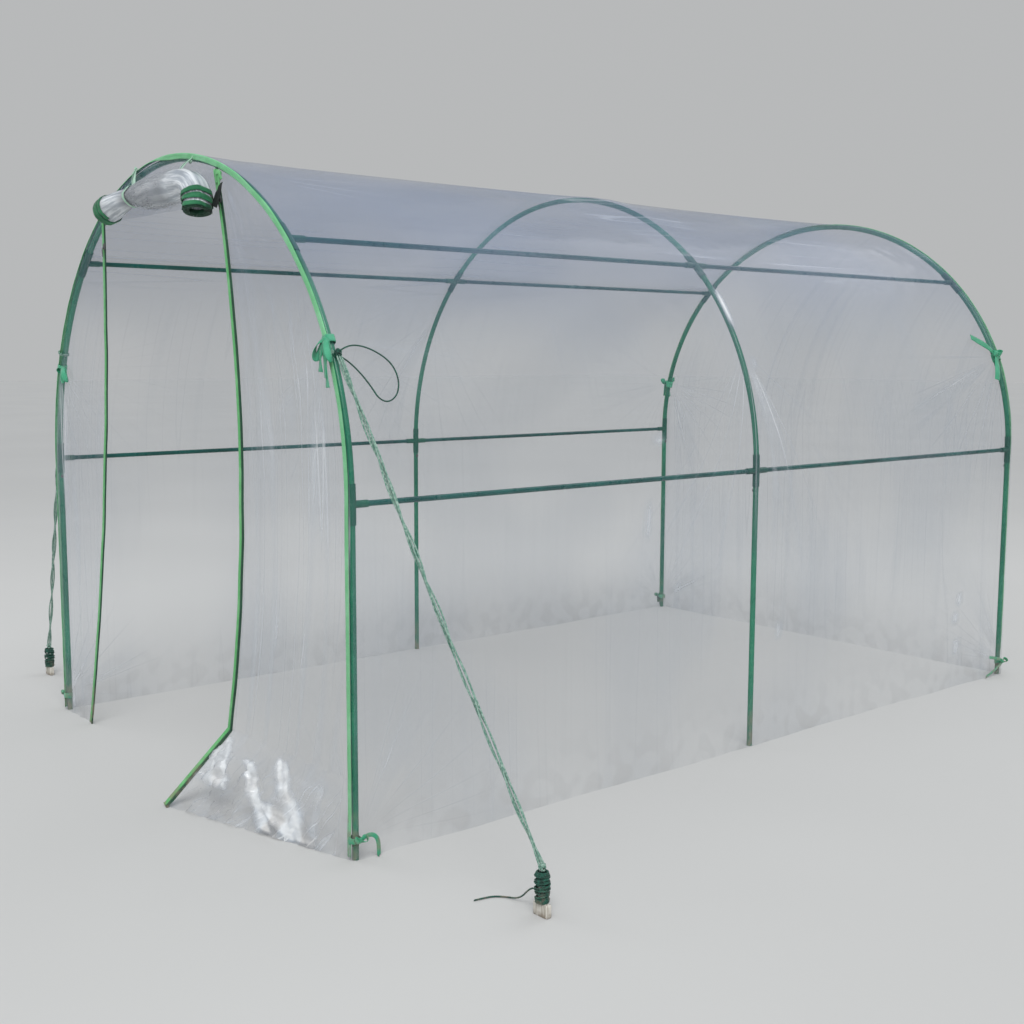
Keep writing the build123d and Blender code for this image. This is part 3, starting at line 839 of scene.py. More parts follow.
class GeometryTool:
    """A geometry node tree with named inputs, run on a line or points and kept as a plain mesh."""

    def __init__(self, name: str, inputs: dict[str, str]) -> None:
        """Starts the tree.

        Args:
            name: The tree's name.
            inputs: Its inputs next to the geometry and the material: each name with its type.
        """
        self.tree = bpy.data.node_groups.new(name, "GeometryNodeTree")
        self.tree.interface.new_socket("Geometry", in_out="OUTPUT", socket_type="NodeSocketGeometry")
        self.tree.interface.new_socket("Geometry", in_out="INPUT", socket_type="NodeSocketGeometry")
        for label, kind in {**inputs, "Material": "Material"}.items():
            self.tree.interface.new_socket(label, in_out="INPUT", socket_type=f"NodeSocket{kind}")
        self.board = NodeBoard(self.tree)
        self.given = self.board.add("NodeGroupInput").outputs

    def add(self, kind: str, inputs: dict[Any, Any] | None = None, output: Any = 0,
            **settings: Any) -> bpy.types.NodeSocket:
        """Adds one node and gives one of its outputs, by name or number."""
        return self.board.add(kind, inputs, **settings).outputs[output]

    def even_curve(self) -> bpy.types.NodeSocket:
        """The line as a curve, with points at the given spacing."""
        curve = self.add("GeometryNodeMeshToCurve", {"Mesh": self.given["Geometry"]})
        inputs = {"Curve": curve, "Length": self.given["Spacing"]}
        return self.add("GeometryNodeResampleCurve", inputs, mode="LENGTH")

    def set_items(self, points: Any, along: Any, size: Any = (1.0, 1.0, 1.0)) -> None:
        """Ends the tree with an item at each point, along one vector and upright to the "out" vector."""
        turn = self.add("FunctionNodeAxesToRotation", {0: along, 1: self.named("out")}, primary_axis="X",
                        secondary_axis="Z")
        item = self.add("GeometryNodeObjectInfo", {"Object": self.given["Item"]}, "Geometry")
        inputs = {"Points": points, "Instance": item, "Rotation": turn, "Scale": size}
        self.end(self.add("GeometryNodeInstanceOnPoints", inputs))

    def named(self, name: str) -> bpy.types.NodeSocket:
        """Vector that the line or points carry under that name."""
        return self.add("GeometryNodeInputNamedAttribute", {"Name": name}, data_type="FLOAT_VECTOR")

    def end(self, geometry: bpy.types.NodeSocket) -> None:
        """Ends the tree in real geometry with its material."""
        real = self.add("GeometryNodeRealizeInstances", {"Geometry": geometry})
        dressed = self.add("GeometryNodeSetMaterial", {"Geometry": real, "Material": self.given["Material"]})
        self.board.add("NodeGroupOutput", {"Geometry": dressed})

    def run(self, name: str, mesh: bpy.types.Mesh, finish: Finish, **values: Any) -> bpy.types.Object:
        """Runs the tree.

        Args:
            name: Name of the piece it makes.
            mesh: Line or points that it works on.
            finish: Finish of the piece.
            **values: Values for its inputs, by name with underscores for blanks.

        Returns:
            The piece, as a plain mesh.
        """
        base = link(name + ".base", mesh)
        tool = base.modifiers.new("tool", "NODES")
        tool.node_group = self.tree
        values = {key.replace("_", " "): value for key, value in values.items()}
        values["Material"] = finish.material()
        for socket in self.tree.interface.items_tree:
            if socket.in_out == "INPUT" and socket.name in values:
                tool[socket.identifier] = values[socket.name]
        graph = bpy.context.evaluated_depsgraph_get()
        made = bpy.data.meshes.new_from_object(base.evaluated_get(graph), preserve_all_data_layers=True,
                                               depsgraph=graph)
        base.modifiers.clear()
        bpy.data.objects.remove(base)
        made.name = name
        return link(name, made)


def line_mesh(lines: Sequence[np.ndarray], **marks: Sequence[np.ndarray]) -> bpy.types.Mesh:
    """Makes a mesh of bare lines.

    Args:
        lines: Places of each line, one a row.
        **marks: Vectors to store at the places, under each name.

    Returns:
        The mesh, with one run of edges for each line.
    """
    edges, start = [], 0
    for line in lines:
        edges += [(start + i, start + i + 1) for i in range(len(line) - 1)]
        start += len(line)
    stored = {name: np.concatenate(list(values)) for name, values in marks.items()}
    return bare_mesh("line", np.concatenate(lines), edges, [], **stored)


def repeat_tool() -> GeometryTool:
    """Tool that sets an item along a line at an even spacing, upright to the line's "out" vector."""
    tool = GeometryTool("repeat_along_line", {"Item": "Object", "Spacing": "Float", "Size Spread": "Float",
                                              "Seed": "Int"})
    low, high = (tool.board.math(way, 1.0, tool.given["Size Spread"]) for way in ("SUBTRACT", "ADD"))
    size = tool.add("FunctionNodeRandomValue", {2: low, 3: high, "Seed": tool.given["Seed"]}, 1,
                    data_type="FLOAT")
    tool.set_items(tool.even_curve(), tool.add("GeometryNodeInputTangent"), size)
    return tool


def fasten_tool() -> GeometryTool:
    """Tool that sets an item at each point, upright to the point's "out" vector."""
    tool = GeometryTool("fasten_at_points", {"Item": "Object"})
    tool.set_items(tool.given["Geometry"], tool.named("along"))
    return tool


def twist_tool() -> GeometryTool:
    """Tool that lays round strands about a line, as the strands of a rope lie."""
    kinds = {"Strands": "Int", "Strand Radius": "Float", "Lay Radius": "Float", "Turns per Metre": "Float",
             "Spacing": "Float", "Sides": "Int"}
    tool = GeometryTool("twisted_strands", kinds)
    board, add, given = tool.board, tool.add, tool.given
    inputs = {"Geometry": tool.even_curve(), "Amount": given["Strands"]}
    copies = board.add("GeometryNodeDuplicateElements", inputs, domain="SPLINE")
    start = board.math("DIVIDE", board.times(copies.outputs[1], 2 * pi), given["Strands"])
    run = add("GeometryNodeSplineParameter", output="Length")
    turn = board.math("MULTIPLY_ADD", board.times(run, given["Turns per Metre"]), 2 * pi, start)
    normal = add("GeometryNodeInputNormal")
    beside = board.vector_math("CROSS_PRODUCT", add("GeometryNodeInputTangent"), normal)
    spoke = board.vector_math("ADD", board.scaled(normal, board.math("COSINE", turn)),
                              board.scaled(beside, board.math("SINE", turn)))
    laid = add("GeometryNodeSetPosition", {"Geometry": copies.outputs[0],
                                           "Offset": board.scaled(spoke, given["Lay Radius"])})
    ring = add("GeometryNodeCurvePrimitiveCircle", {"Resolution": given["Sides"],
                                                    "Radius": given["Strand Radius"]})
    tube = add("GeometryNodeCurveToMesh", {"Curve": laid, "Profile Curve": ring, "Fill Caps": True})
    tool.end(add("GeometryNodeSetShadeSmooth", {"Geometry": tube}))
    return tool


def ring_item(name: str, rings: Sequence[np.ndarray], bands: Sequence[tuple[int, int]], caps: Sequence[int],
              closed: bool = False) -> bpy.types.Object:
    """Makes a small item for a tool to repeat, standing along Z.

    Args:
        name: The item's name.
        rings: Points of its rings, from the bottom up.
        bands: Pairs of rings that faces join.
        caps: Rings that a face closes at the top.
        closed: True where a face closes the first ring at the bottom.

    Returns:
        The item, outside the scene.
    """
    starts = np.cumsum([0] + [len(ring) for ring in rings]).tolist()
    faces = [tuple(range(starts[cap], starts[cap + 1])) for cap in caps]
    if closed:
        faces.append(tuple(reversed(range(starts[1]))))
    for low, high in bands:
        count = len(rings[low])
        for i in range(count):
            j = (i + 1) % count
            faces.append((starts[low] + i, starts[low] + j, starts[high] + j, starts[high] + i))
    return bpy.data.objects.new(name, bare_mesh(name, np.vstack(rings), [], faces))


class Workshop:
    """The geometry tools and the small items that they repeat."""

    def __init__(self) -> None:
        """Builds the tools and the items."""
        self.repeat = repeat_tool()
        self.fasten = fasten_tool()
        self.twist = twist_tool()
        self.stitch = self.rounded_item("stitch.item", 0.0032, 0.0011, 0.0007)
        self.tooth = self.rounded_item("tooth.item", 0.0012, 0.0046, 0.0013)
        self.bolt = self.bolt_item("bolt.item", 0.0046, 0.0034)

    @staticmethod
    def ring(sides: int, length: float, width: float, height: float) -> np.ndarray:
        """Points round an oval with half of that length and width, at a height."""
        turn = np.arange(sides) * 2 * pi / sides
        return np.stack([np.cos(turn) * length, np.sin(turn) * width, np.full(sides, height)], 1)

    @classmethod
    def rounded_item(cls, name: str, length: float, width: float, height: float) -> bpy.types.Object:
        """Low rounded bar whose long side is along X and whose top is along Z."""
        rings = [cls.ring(8, 0.5 * share * length, 0.5 * share * width, level * height)
                 for share, level in ((1.0, -0.3), (1.0, 0.5), (0.5, 1.0))]
        item = ring_item(name, rings, ((0, 1), (1, 2)), (2,), closed=True)
        item.data.shade_smooth()
        return item

    @classmethod
    def bolt_item(cls, name: str, radius: float, height: float) -> bpy.types.Object:
        """Six-sided bolt head on a round washer, standing along Z."""
        levels = ((16, 1.5, 0.0), (16, 1.5, 0.0010), (6, 1.0, 0.0010), (6, 1.0, height),
                  (6, 0.8, height + 0.0007))
        rings = [cls.ring(sides, share * radius, share * radius, level) for sides, share, level in levels]
        return ring_item(name, rings, ((0, 1), (2, 3), (3, 4)), (1, 4))

    def clear_away(self) -> None:
        """Removes the items and tools once every piece is made."""
        for item in (self.stitch, self.tooth, self.bolt):
            bpy.data.objects.remove(item)
        for tool in (self.repeat, self.fasten, self.twist):
            bpy.data.node_groups.remove(tool.tree)


# The film


@dataclass(frozen=True)
class Pull:
    """A held place that draws folds out of the sheet round it, in the sheet's own two coordinates."""

    place: tuple[float, float]
    facing: float
    spread: float
    reach: float
    depth: float
    folds: float
    seed: int
    lines: float = 1.0

    def fold(self, a: np.ndarray, b: np.ndarray) -> tuple[np.ndarray, np.ndarray]:
        """Shape of the folds.

        Args:
            a: First coordinates on the sheet.
            b: Second coordinates on the sheet.

        Returns:
            How far the sheet moves, and its marks: distance across the folds, along them, and strength.
        """
        first, second = a - self.place[0], b - self.place[1]
        far = np.hypot(first, second)
        turn = (np.arctan2(second, first) - radians(self.facing) + pi) % (2 * pi) - pi
        half = radians(self.spread)
        hold = step_up(far, 0.03, 0.13) * np.exp(-2.2 * (far / self.reach) ** 2)
        hold = hold * step_up(np.abs(turn), half, half * 0.55)
        wave = Ripple(self.seed).at(turn * self.folds, far * 1.3)
        return self.depth * hold * wave, np.stack([turn * 0.30, far, hold * self.lines], -1)


def gather(pulls: Sequence[Pull], a: np.ndarray, b: np.ndarray) -> tuple[np.ndarray, np.ndarray]:
    """Adds up the folds of several held places.

    Args:
        pulls: The held places.
        a: First coordinates on the sheet.
        b: Second coordinates on the sheet.

    Returns:
        How far the sheet moves, and the marks of the strongest held place at each point.
    """
    shift, best, marks = np.zeros(a.shape), np.zeros(a.shape), np.zeros(a.shape + (3,))
    for pull in pulls:
        moved, found = pull.fold(a, b)
        shift += moved
        stronger = found[..., 2] > best
        rest = np.minimum(best, found[..., 2])
        best = np.maximum(best, found[..., 2])
        marks = np.where(stronger[..., None], found, marks)
        marks[..., 2] = best - rest
    return shift, marks


@dataclass
class FilmSheet:
    """A sheet of the cover, from its flat shape to the dressed piece."""

    name: str
    finish: Finish
    flat: tuple[float, float]
    nodes: tuple[str, ...]
    rests_on: tuple[str, ...] = ("front_crown_tube",)
    flip: bool = False

    def patches(self) -> list[Patch]:
        """The sheet as it hangs."""
        raise NotImplementedError

    def flat_area(self) -> float:
        """Area that the sheet was cut to."""
        return self.flat[0] * self.flat[1]

    def build(self) -> None:
        piece = show(self.name, self.patches(), self.finish, flip=self.flip)
        fit(piece, "clear_film", *self.nodes)
        list(self.rests_on)
        self.flat_area()


@dataclass
class CoverFilm(FilmSheet):
    """The sheet over the hoops, from the ground on one side to the ground on the other.

    A glint is a painted highlight: a place round the outline and along the tunnel, a half length, a half
    width and a whiteness.
    """

    runs: int = 341
    step: float = 0.0165
    least_sag: float = 0.0030
    most_sag: float = 0.0090
    wave: float = 0.0040
    streak: float = 0.0016
    foot_wave: float = 0.0090
    pleat: float = 0.0014
    deepest: float = -0.0145
    upper_purlin: float = 45.6
    glints: tuple[tuple[float, ...], ...] = (
        (1.562, 0.086, 0.072, 0.012, 1.0), (1.346, 0.130, 0.020, 0.014, 0.5),
        (0.843, -0.448, 0.055, 0.012, 0.6), (1.095, -0.398, 0.014, 0.022, 0.7),
        (0.397, 0.223, 0.030, 0.016, 0.6), (0.369, 1.402, 0.024, 0.018, 0.8),
        (0.293, 1.378, 0.022, 0.018, 0.8), (0.169, 1.395, 0.030, 0.018, 0.8))

    def places_along(self) -> np.ndarray:
        """Places along the tunnel, closer together at the hoops."""
        ends = SHAPE.face_y(TunnelEnd.DOOR), SHAPE.face_y(TunnelEnd.REAR)
        even = np.linspace(*ends, int((ends[1] - ends[0]) / self.step))
        near = [hoop + d for hoop in SHAPE.hoops for d in (-0.030, -0.018, -0.009, 0.0, 0.009, 0.018, 0.030)]
        near = [y for y in near if ends[0] + 0.003 < y < ends[1] - 0.003]
        far = [y for y in even if min(abs(y - n) for n in near) > 0.006]
        return np.array(sorted(far + near))

    @staticmethod
    def pulls() -> list[Pull]:
        """Held places of the cover, as distance round the outline and place along the tunnel."""
        right, left, run = Side.RIGHT, Side.LEFT, SHAPE.arch_run
        front, middle, rear = SHAPE.hoops
        right_foot, left_foot = (SHAPE.side_run(side, SHAPE.foot_tie) for side in (right, left))
        return [
            Pull((run(right, 25.7), front), 118, 80, 0.55, 0.0070, 4.2, 11, 0.35),
            Pull((run(left, 20), front), 62, 80, 0.50, 0.0060, 4.2, 12, 0.35),
            Pull((run(right, 24), middle), 180, 66, 0.78, 0.0085, 4.6, 13, 1.5),
            Pull((run(left, 34), middle), 0, 70, 0.60, 0.0070, 4.4, 14),
            Pull((run(right, 23), rear), -118, 80, 0.50, 0.0060, 4.2, 15),
            Pull((run(left, 14), rear), -62, 80, 0.50, 0.0060, 4.2, 16),
            Pull((right_foot, front), 48, 60, 0.42, 0.0055, 4.6, 17),
            Pull((right_foot, rear), -48, 60, 0.38, 0.0050, 4.6, 18),
            Pull((left_foot, front), 132, 60, 0.36, 0.0050, 4.6, 19),
            Pull((left_foot, rear), -132, 60, 0.36, 0.0050, 4.6, 20),
            Pull((run(right, 66), front), 70, 55, 0.62, 0.0040, 4.0, 21),
            Pull((run(right, 70), middle), 60, 60, 0.60, 0.0040, 4.0, 22),
        ]

    def patches(self) -> list[Patch]:
        """The sheet as it hangs: sagging between the hoops, held out by the purlins, folded at its ties."""
        run, along = np.meshgrid(np.linspace(0, SHAPE.outline_length, self.runs), self.places_along(),
                                 indexing="ij")
        front, _, rear = SHAPE.hoops
        hoop = np.min([np.abs(along - y) for y in SHAPE.hoops], axis=0)
        hoop = np.where((along < front) | (along > rear), 0.0, hoop)
        purlin = np.min([np.abs(run - SHAPE.arch_run(side, angle)) for side in Side
                         for angle in (0, self.upper_purlin)], axis=0)
        free, loose = 1 - np.exp(-hoop / 0.10), step_up(purlin, 0.02, 0.12)
        roof = step_up(np.abs(run - SHAPE.outline_length / 2), 1.05, 0.75)
        low = step_up(np.minimum(run, SHAPE.outline_length - run), 0.32, 0.0)
        sag = self.least_sag + (self.most_sag - self.least_sag) * step_up(purlin, 0.03, 0.24)
        shift = -sag * (1 - np.exp(-hoop / 0.13))
        shift += self.wave * free * loose * Ripple(31).at(run * 1.5, along * 1.2)
        shift += self.streak * roof * free * Ripple(32).at(run * 15.0, along * 1.1)
        shift += self.foot_wave * low * step_up(hoop, 0.02, 0.14) * Ripple(33).at(along * 4.2, run * 0.7)
        shift += self.pleat * (1 - roof) * free * Ripple(34).at(along * 13.0, run * 0.9)
        pulled, fan = gather(self.pulls(), run, along)
        shift += pulled * step_up(hoop, 0.004, 0.045) * (0.35 + 0.65 * loose)
        place, _ = SHAPE.outline(run, np.maximum(shift, self.deepest))
        place[..., 1] = along
        calm = (0.34 + 0.36 * Ripple(35).at(run * 1.1, along * 0.9)) * np.abs(2 * roof - 1)
        pleat = np.where((roof > 0.5)[..., None], np.stack([run, along, 1.3 * calm], -1),
                         np.stack([along, run, 0.35 * calm], -1))
        # painted highlights: glints on the cover, the first the white streak where it presses on the middle
        # hoop
        glint = sum(white * np.exp(-((run - at_run) / long) ** 4 - ((along - at_along) / wide) ** 2)
                    for at_run, at_along, long, wide, white in self.glints)
        milk = np.stack([glint] * 3, -1)
        return [Patch(place, np.stack([run, along], -1), {"pleat": pleat, "fan": fan, "milk": milk})]


@dataclass
class EndFilm(FilmSheet):
    """A sheet in an end of the tunnel, ruled across between two edges that change with the height."""

    end: TunnelEnd = TunnelEnd.DOOR
    left: Callable[[np.ndarray], np.ndarray] = field(default=lambda z: -end_edge(z))
    right: Callable[[np.ndarray], np.ndarray] = field(default=lambda z: end_edge(z))
    top: float = 1.97
    bottom: float = 0.0
    rows: int = 150
    columns: int = 90
    pleat: float = 0.0045
    pleats: float = 12.0
    pulls: tuple[Pull, ...] = ()
    seed: int = 41
    lines: float = 1.0

    def flat_grid(self) -> tuple[np.ndarray, np.ndarray, np.ndarray]:
        """Place across, height and share of the width at each point of the flat sheet."""
        height, share = np.meshgrid(np.linspace(self.top, self.bottom, self.rows),
                                    np.linspace(0, 1, self.columns), indexing="ij")
        left, right = self.left(height), self.right(height)
        return left + (right - left) * share, height, share

    def flat_area(self) -> float:
        """Area that the sheet was cut to."""
        across, height, _ = self.flat_grid()
        return Patch(np.stack([across, np.zeros_like(across), height], -1)).area()

    def lift(self, across: np.ndarray, height: np.ndarray, share: np.ndarray) -> tuple[np.ndarray, ...]:
        """How far the sheet stands out, with its two sets of marks."""
        width = self.right(height) - self.left(height)
        held = np.abs(np.hypot(across, np.maximum(height - SHAPE.leg_height, 0)) - SHAPE.hoop_radius)
        held = np.where(height < SHAPE.leg_height, np.abs(np.abs(across) - SHAPE.hoop_radius), held)
        free = step_up(held, 0.014, 0.06)
        narrow = step_up(width, 0.03, 0.30)
        noise = Ripple(self.seed)
        shift = self.pleat * noise.at(share * self.pleats, height * 0.9)
        shift += 0.35 * self.pleat * noise.at(share * self.pleats * 3.1 + 7, height * 1.6 + 3)
        shift += 0.0035 * noise.at(across * 1.7 + 20, height * 1.4 + 9)
        pulled, fan = gather(self.pulls, across, height)
        strength = self.lines * narrow * (0.80 + 0.30 * noise.at(share * 5, height * 0.8))
        marks = np.stack([share * (0.10 + 0.90 * width), height, strength], -1)
        beside = np.minimum(share, 1 - share) * width
        return (shift * narrow + pulled) * free * step_up(beside, 0.012, 0.05), marks, fan

    def patches(self) -> list[Patch]:
        """The sheet as it hangs, pleated from top to bottom and folded at its ties."""
        across, height, share = self.flat_grid()
        shift, pleat, fan = self.lift(across, height, share)
        points = np.stack([across, SHAPE.face_y(self.end) + self.end * shift, height], -1)
        return [Patch(points, np.stack([across, height], -1), {"pleat": pleat, "fan": fan})]


def end_edge(height: np.ndarray) -> np.ndarray:
    """Half the width of an end film at each height."""
    up = np.clip(np.asarray(height, float) - SHAPE.leg_height, 0, SHAPE.film_radius - 1e-6)
    return np.sqrt((SHAPE.film_radius - EDGE_INSET) ** 2 - np.minimum(up, SHAPE.film_radius - 0.0005) ** 2)


@dataclass
class HeaderFilm(EndFilm):
    """The top of the door film, between the arch and the roll in front of it."""

    left_x: float = -0.483
    right_x: float = 0.316

    def flat_grid(self) -> tuple[np.ndarray, np.ndarray, np.ndarray]:
        """Place across, height and share of the width, from the arch down to a level edge."""
        across, down = np.meshgrid(np.linspace(self.left_x, self.right_x, self.columns),
                                   np.linspace(0, 1, self.rows))
        arch = SHAPE.leg_height + np.sqrt((SHAPE.film_radius - EDGE_INSET) ** 2 - across ** 2)
        share = (across - self.left_x) / (self.right_x - self.left_x)
        return across, arch + (self.bottom - arch) * down, share


@dataclass
class SkirtedFilm(EndFilm):
    """The right film of the door end, whose foot is folded outwards and lies crumpled on the ground."""

    bend: tuple[float, float] = RIGHT_ZIP.places[-1]
    toe_x: float = 0.271
    toe_reach: float = 0.195
    skirt_rows: int = 64
    puff: float = 0.030

    def skirt_grid(self) -> tuple[np.ndarray, np.ndarray]:
        """Share of the way down the skirt and across it."""
        return np.meshgrid(np.linspace(0, 1, self.skirt_rows), np.linspace(0, 1, self.columns),
                           indexing="ij")

    def skirt(self) -> np.ndarray:
        """Points of the flat skirt."""
        down, share = self.skirt_grid()
        face, height = SHAPE.face_y(self.end), self.bend[1] * (1 - down)
        left_x = self.bend[0] + (self.toe_x - self.bend[0]) * down
        left = np.stack([left_x, face - self.toe_reach * down, height], -1)
        heel_x = float(end_edge(np.array(0.0)))
        right = np.stack([np.full_like(down, heel_x), np.full_like(down, face), height], -1)
        return left * (1 - share[..., None]) + right * share[..., None]

    def flat_area(self) -> float:
        """Area that the sheet was cut to, skirt and all."""
        return super().flat_area() + Patch(self.skirt()).area()

    def patches(self) -> list[Patch]:
        """The upright sheet and its crumpled skirt."""
        upright, flat = super().patches()[0], self.skirt()
        down, share = self.skirt_grid()
        carried = upright.points[-1] - flat[0]
        loose = step_up(down, 0.0, 0.35) * step_up(share, 1.0, 0.86) * step_up(share, 0.0, 0.03)
        crush = np.abs(Ripple(61).at(share * 13, down * 3.2))
        crush = crush + 0.6 * np.abs(Ripple(62).at(share * 27, down * 7.0))
        crush = crush + 0.35 * np.abs(Ripple(63).at(share * 60 + down * 20, down * 14.0))
        puff = self.puff * loose * (crush - 0.45) * (0.35 + 0.65 * step_up(share, 0.75, 0.15))
        points = flat + carried[None] * (1 - step_up(down, 0.0, 0.5))[..., None]
        points = points + unit(SKIRT_OUT) * puff[..., None]
        points[..., 2] = np.maximum(points[..., 2], 0.0014)
        pleat = np.stack([share * 0.75, down * 0.3, 0.55 + 0.45 * down], -1)
        fan = np.stack([share * 0.9 + 0.2 * down, down * 0.9 - share * 0.3, 0.9 * loose], -1)
        # painted highlights of the crumpled skirt, over its faint haze
        milk = np.stack([self.crumple_highlights_and_haze(share, down)] * 3, -1)
        return [upright, Patch(points, flat[..., [0, 2]], {"pleat": pleat, "fan": fan, "milk": milk})]

    @staticmethod
    def crumple_highlights_and_haze(share: np.ndarray, down: np.ndarray) -> np.ndarray:
        """How white the skirt is: painted highlights on bunches of creases that catch the light, over a
        faint haze.
        """
        corner = share - 0.04 - 0.32 * down
        toe = share - 0.72 * down
        bunches = np.max([
            step_up(corner, 0.03, -0.02) * step_up(corner, -0.26, -0.06) * step_up(down, 0.05, 0.14)
            * step_up(down, 0.68, 0.58),
            np.exp(-((share - 0.443 - 0.31 * down) / (0.040 + 0.045 * down)) ** 4)
            * step_up(down, 0.05, 0.14),
            np.exp(-((share - 0.19 - 0.38 * down) / 0.040) ** 4) * step_up(down, 0.20, 0.30),
            step_up(toe, -0.07, -0.01) * step_up(share, 0.74, 0.68) * step_up(down, 0.58, 0.68)], axis=0)
        grain = 0.84 + 0.36 * Ripple(64).at(share * 46 - down * 12, down * 5.0)
        grain = grain + 0.16 * Ripple(66).at(share * 20, down * 14.0)
        haze = 0.16 * np.abs(Ripple(65).at(share * 9, down * 4.0))
        return bunches * step_up(down, 0.99, 0.93) * grain + haze


def make_films() -> None:
    """Builds every sheet of the cover."""
    door_face, rear_face = SHAPE.face_y(TunnelEnd.DOOR), SHAPE.face_y(TunnelEnd.REAR)
    cover_nodes = ("right_wall_film", "left_wall_film", "right_shoulder_film", "roof_film",
                   "left_shoulder_film")
    foot = SHAPE.foot_tie
    sheets = (
        CoverFilm("cover_film", COVER_FILM, (SHAPE.outline_length, round(rear_face - door_face, 4)),
                  cover_nodes, ("front_crown_tube", "middle_crown_tube", "rear_crown_tube")),
        EndFilm("front_left_panel", PLEATED_FILM, (1.833, 0.52), ("front_left_film",),
                right=LEFT_ZIP.x_at, top=1.829, rows=170, columns=56, pleats=9.0, seed=42, lines=0.7,
                pulls=(Pull((-0.935, 1.345), -70, 60, 0.55, 0.0060, 4.4, 51),
                       Pull((-0.99, foot), 62, 45, 0.35, 0.0040, 4.4, 52))),
        SkirtedFilm("front_right_panel", PLEATED_FILM, (2.04, 0.70),
                    ("front_right_film", "front_skirt_film"),
                    left=RIGHT_ZIP.x_at, top=1.902, bottom=RIGHT_ZIP.places[-1][1], rows=230, columns=120,
                    pleats=15.0, pleat=0.0052, seed=43,
                    pulls=(Pull((0.892, 1.400), -118, 62, 0.62, 0.0085, 4.6, 53, 0.45),
                           Pull((0.322, 1.905), -70, 34, 0.95, 0.0060, 7.5, 54),
                           Pull((0.99, foot), 128, 50, 0.36, 0.0050, 4.4, 55))),
        HeaderFilm("door_header", PLEATED_FILM, (0.80, 0.172), ("door_header_film",),
                   bottom=1.802, rows=26, pleats=18.0, pleat=0.0015, seed=44),
        EndFilm("rear_panel", PLEATED_FILM, (2.005, 1.972), ("rear_film",), ("rear_crown_tube",), flip=True,
                end=TunnelEnd.REAR, top=1.9727, rows=170, columns=150, pleats=20.0, pleat=0.0020, seed=45,
                lines=0.35,
                pulls=(Pull((0.915, 1.36), -128, 70, 0.60, 0.0075, 4.4, 56),
                       Pull((-0.96, 1.21), -50, 70, 0.55, 0.0070, 4.4, 57),
                       Pull((0.99, foot), 132, 50, 0.36, 0.0050, 4.4, 58),
                       Pull((-0.99, foot), 48, 50, 0.36, 0.0050, 4.4, 59))),
    )
    for sheet in sheets:
        sheet.build()


# Tapes and zips


@dataclass(frozen=True)
class HemTape:
    """Folded tape sewn round the edge of an end, with two rows of stitches.

    It lies on the end's face over the arch, a little in from the corner on the right leg, and turned over
    the corner on the left.
    """

    end: TunnelEnd
    width: float = 0.0165
    leg_inset: float = 0.0078
    turned_over: float = 0.0150
    lift: float = 0.0022
    thickness: float = 0.0010
    ground_gap: float = 0.008
    stitch_spacing: float = 0.0085
    seams: tuple[float, float] = (0.0040, 0.0135)
    steps: int = 520
    across: int = 13

    def start(self, run: np.ndarray) -> np.ndarray:
        """Distance from the corner to the tape's outer edge, below zero where it is turned over."""
        right = step_up(run, SHAPE.arch_run(Side.RIGHT, 24), SHAPE.leg_height - 0.10)
        foot = step_up(run, 0.16, 0.05)
        left = step_up(run, SHAPE.arch_run(Side.RIGHT, 88), SHAPE.arch_run(Side.LEFT, 82))
        return self.leg_inset * (right + 0.5 * foot) - self.turned_over * left

    def place(self, run: np.ndarray, inward: np.ndarray) -> tuple[np.ndarray, np.ndarray]:
        """Places on the tape.

        Args:
            run: Distances round the tunnel's outline.
            inward: Distances from the corner, below zero where they lie on the cover.

        Returns:
            The places and the outward directions.
        """
        run, inward = np.broadcast_arrays(run, inward)
        on_face = np.maximum(inward, 0) - self.lift * step_up(inward, 0.0012, -0.0012)
        behind = np.maximum(-inward, 0) - self.lift * step_up(inward, -0.0012, 0.0012)
        place, out = SHAPE.outline(run, -on_face)
        place[..., 1] = SHAPE.face_y(self.end) - self.end * behind
        over = step_up(inward, 0.0015, -0.0015)[..., None]
        return place, unit(self.end * ALONG * (1 - over) + out * over)

    def build(self, shop: Workshop) -> None:
        """Makes the tape and its stitches."""
        name = "front" if self.end is TunnelEnd.DOOR else "rear"
        run = np.linspace(self.ground_gap, SHAPE.outline_length - self.ground_gap, self.steps)[:, None]
        start = self.start(run)
        wave = 0.0006 * Ripple(70 + self.end).at(run * 9, 0.0)
        grid, out = self.place(run, start + wave + np.linspace(0, self.width, self.across)[None])
        dents = Ripple(72 + self.end).at(run * 21, np.linspace(0, 2, self.across)[None])
        tape = show(f"{name}_hem", [Patch(grid + out * (0.0004 * dents)[..., None])], HEM_TAPE,
                    flip=self.end is TunnelEnd.REAR, thickness=self.thickness)
        fit(tape, "hem_tape", f"{name}_hem_tape")
        rows = [self.place(run, start + inward) for inward in self.seams]
        rows = [(place[:, 0] + out[:, 0] * 0.0009, out[:, 0]) for place, out in rows]
        lines = line_mesh([row[0] for row in rows], out=[row[1] for row in rows])
        stitches = shop.repeat.run(f"{name}_hem_stitches", lines, HEM_THREAD, Item=shop.stitch,
                                   Spacing=self.stitch_spacing, Size_Spread=0.12, Seed=7)
        fit(stitches, "hem_tape")


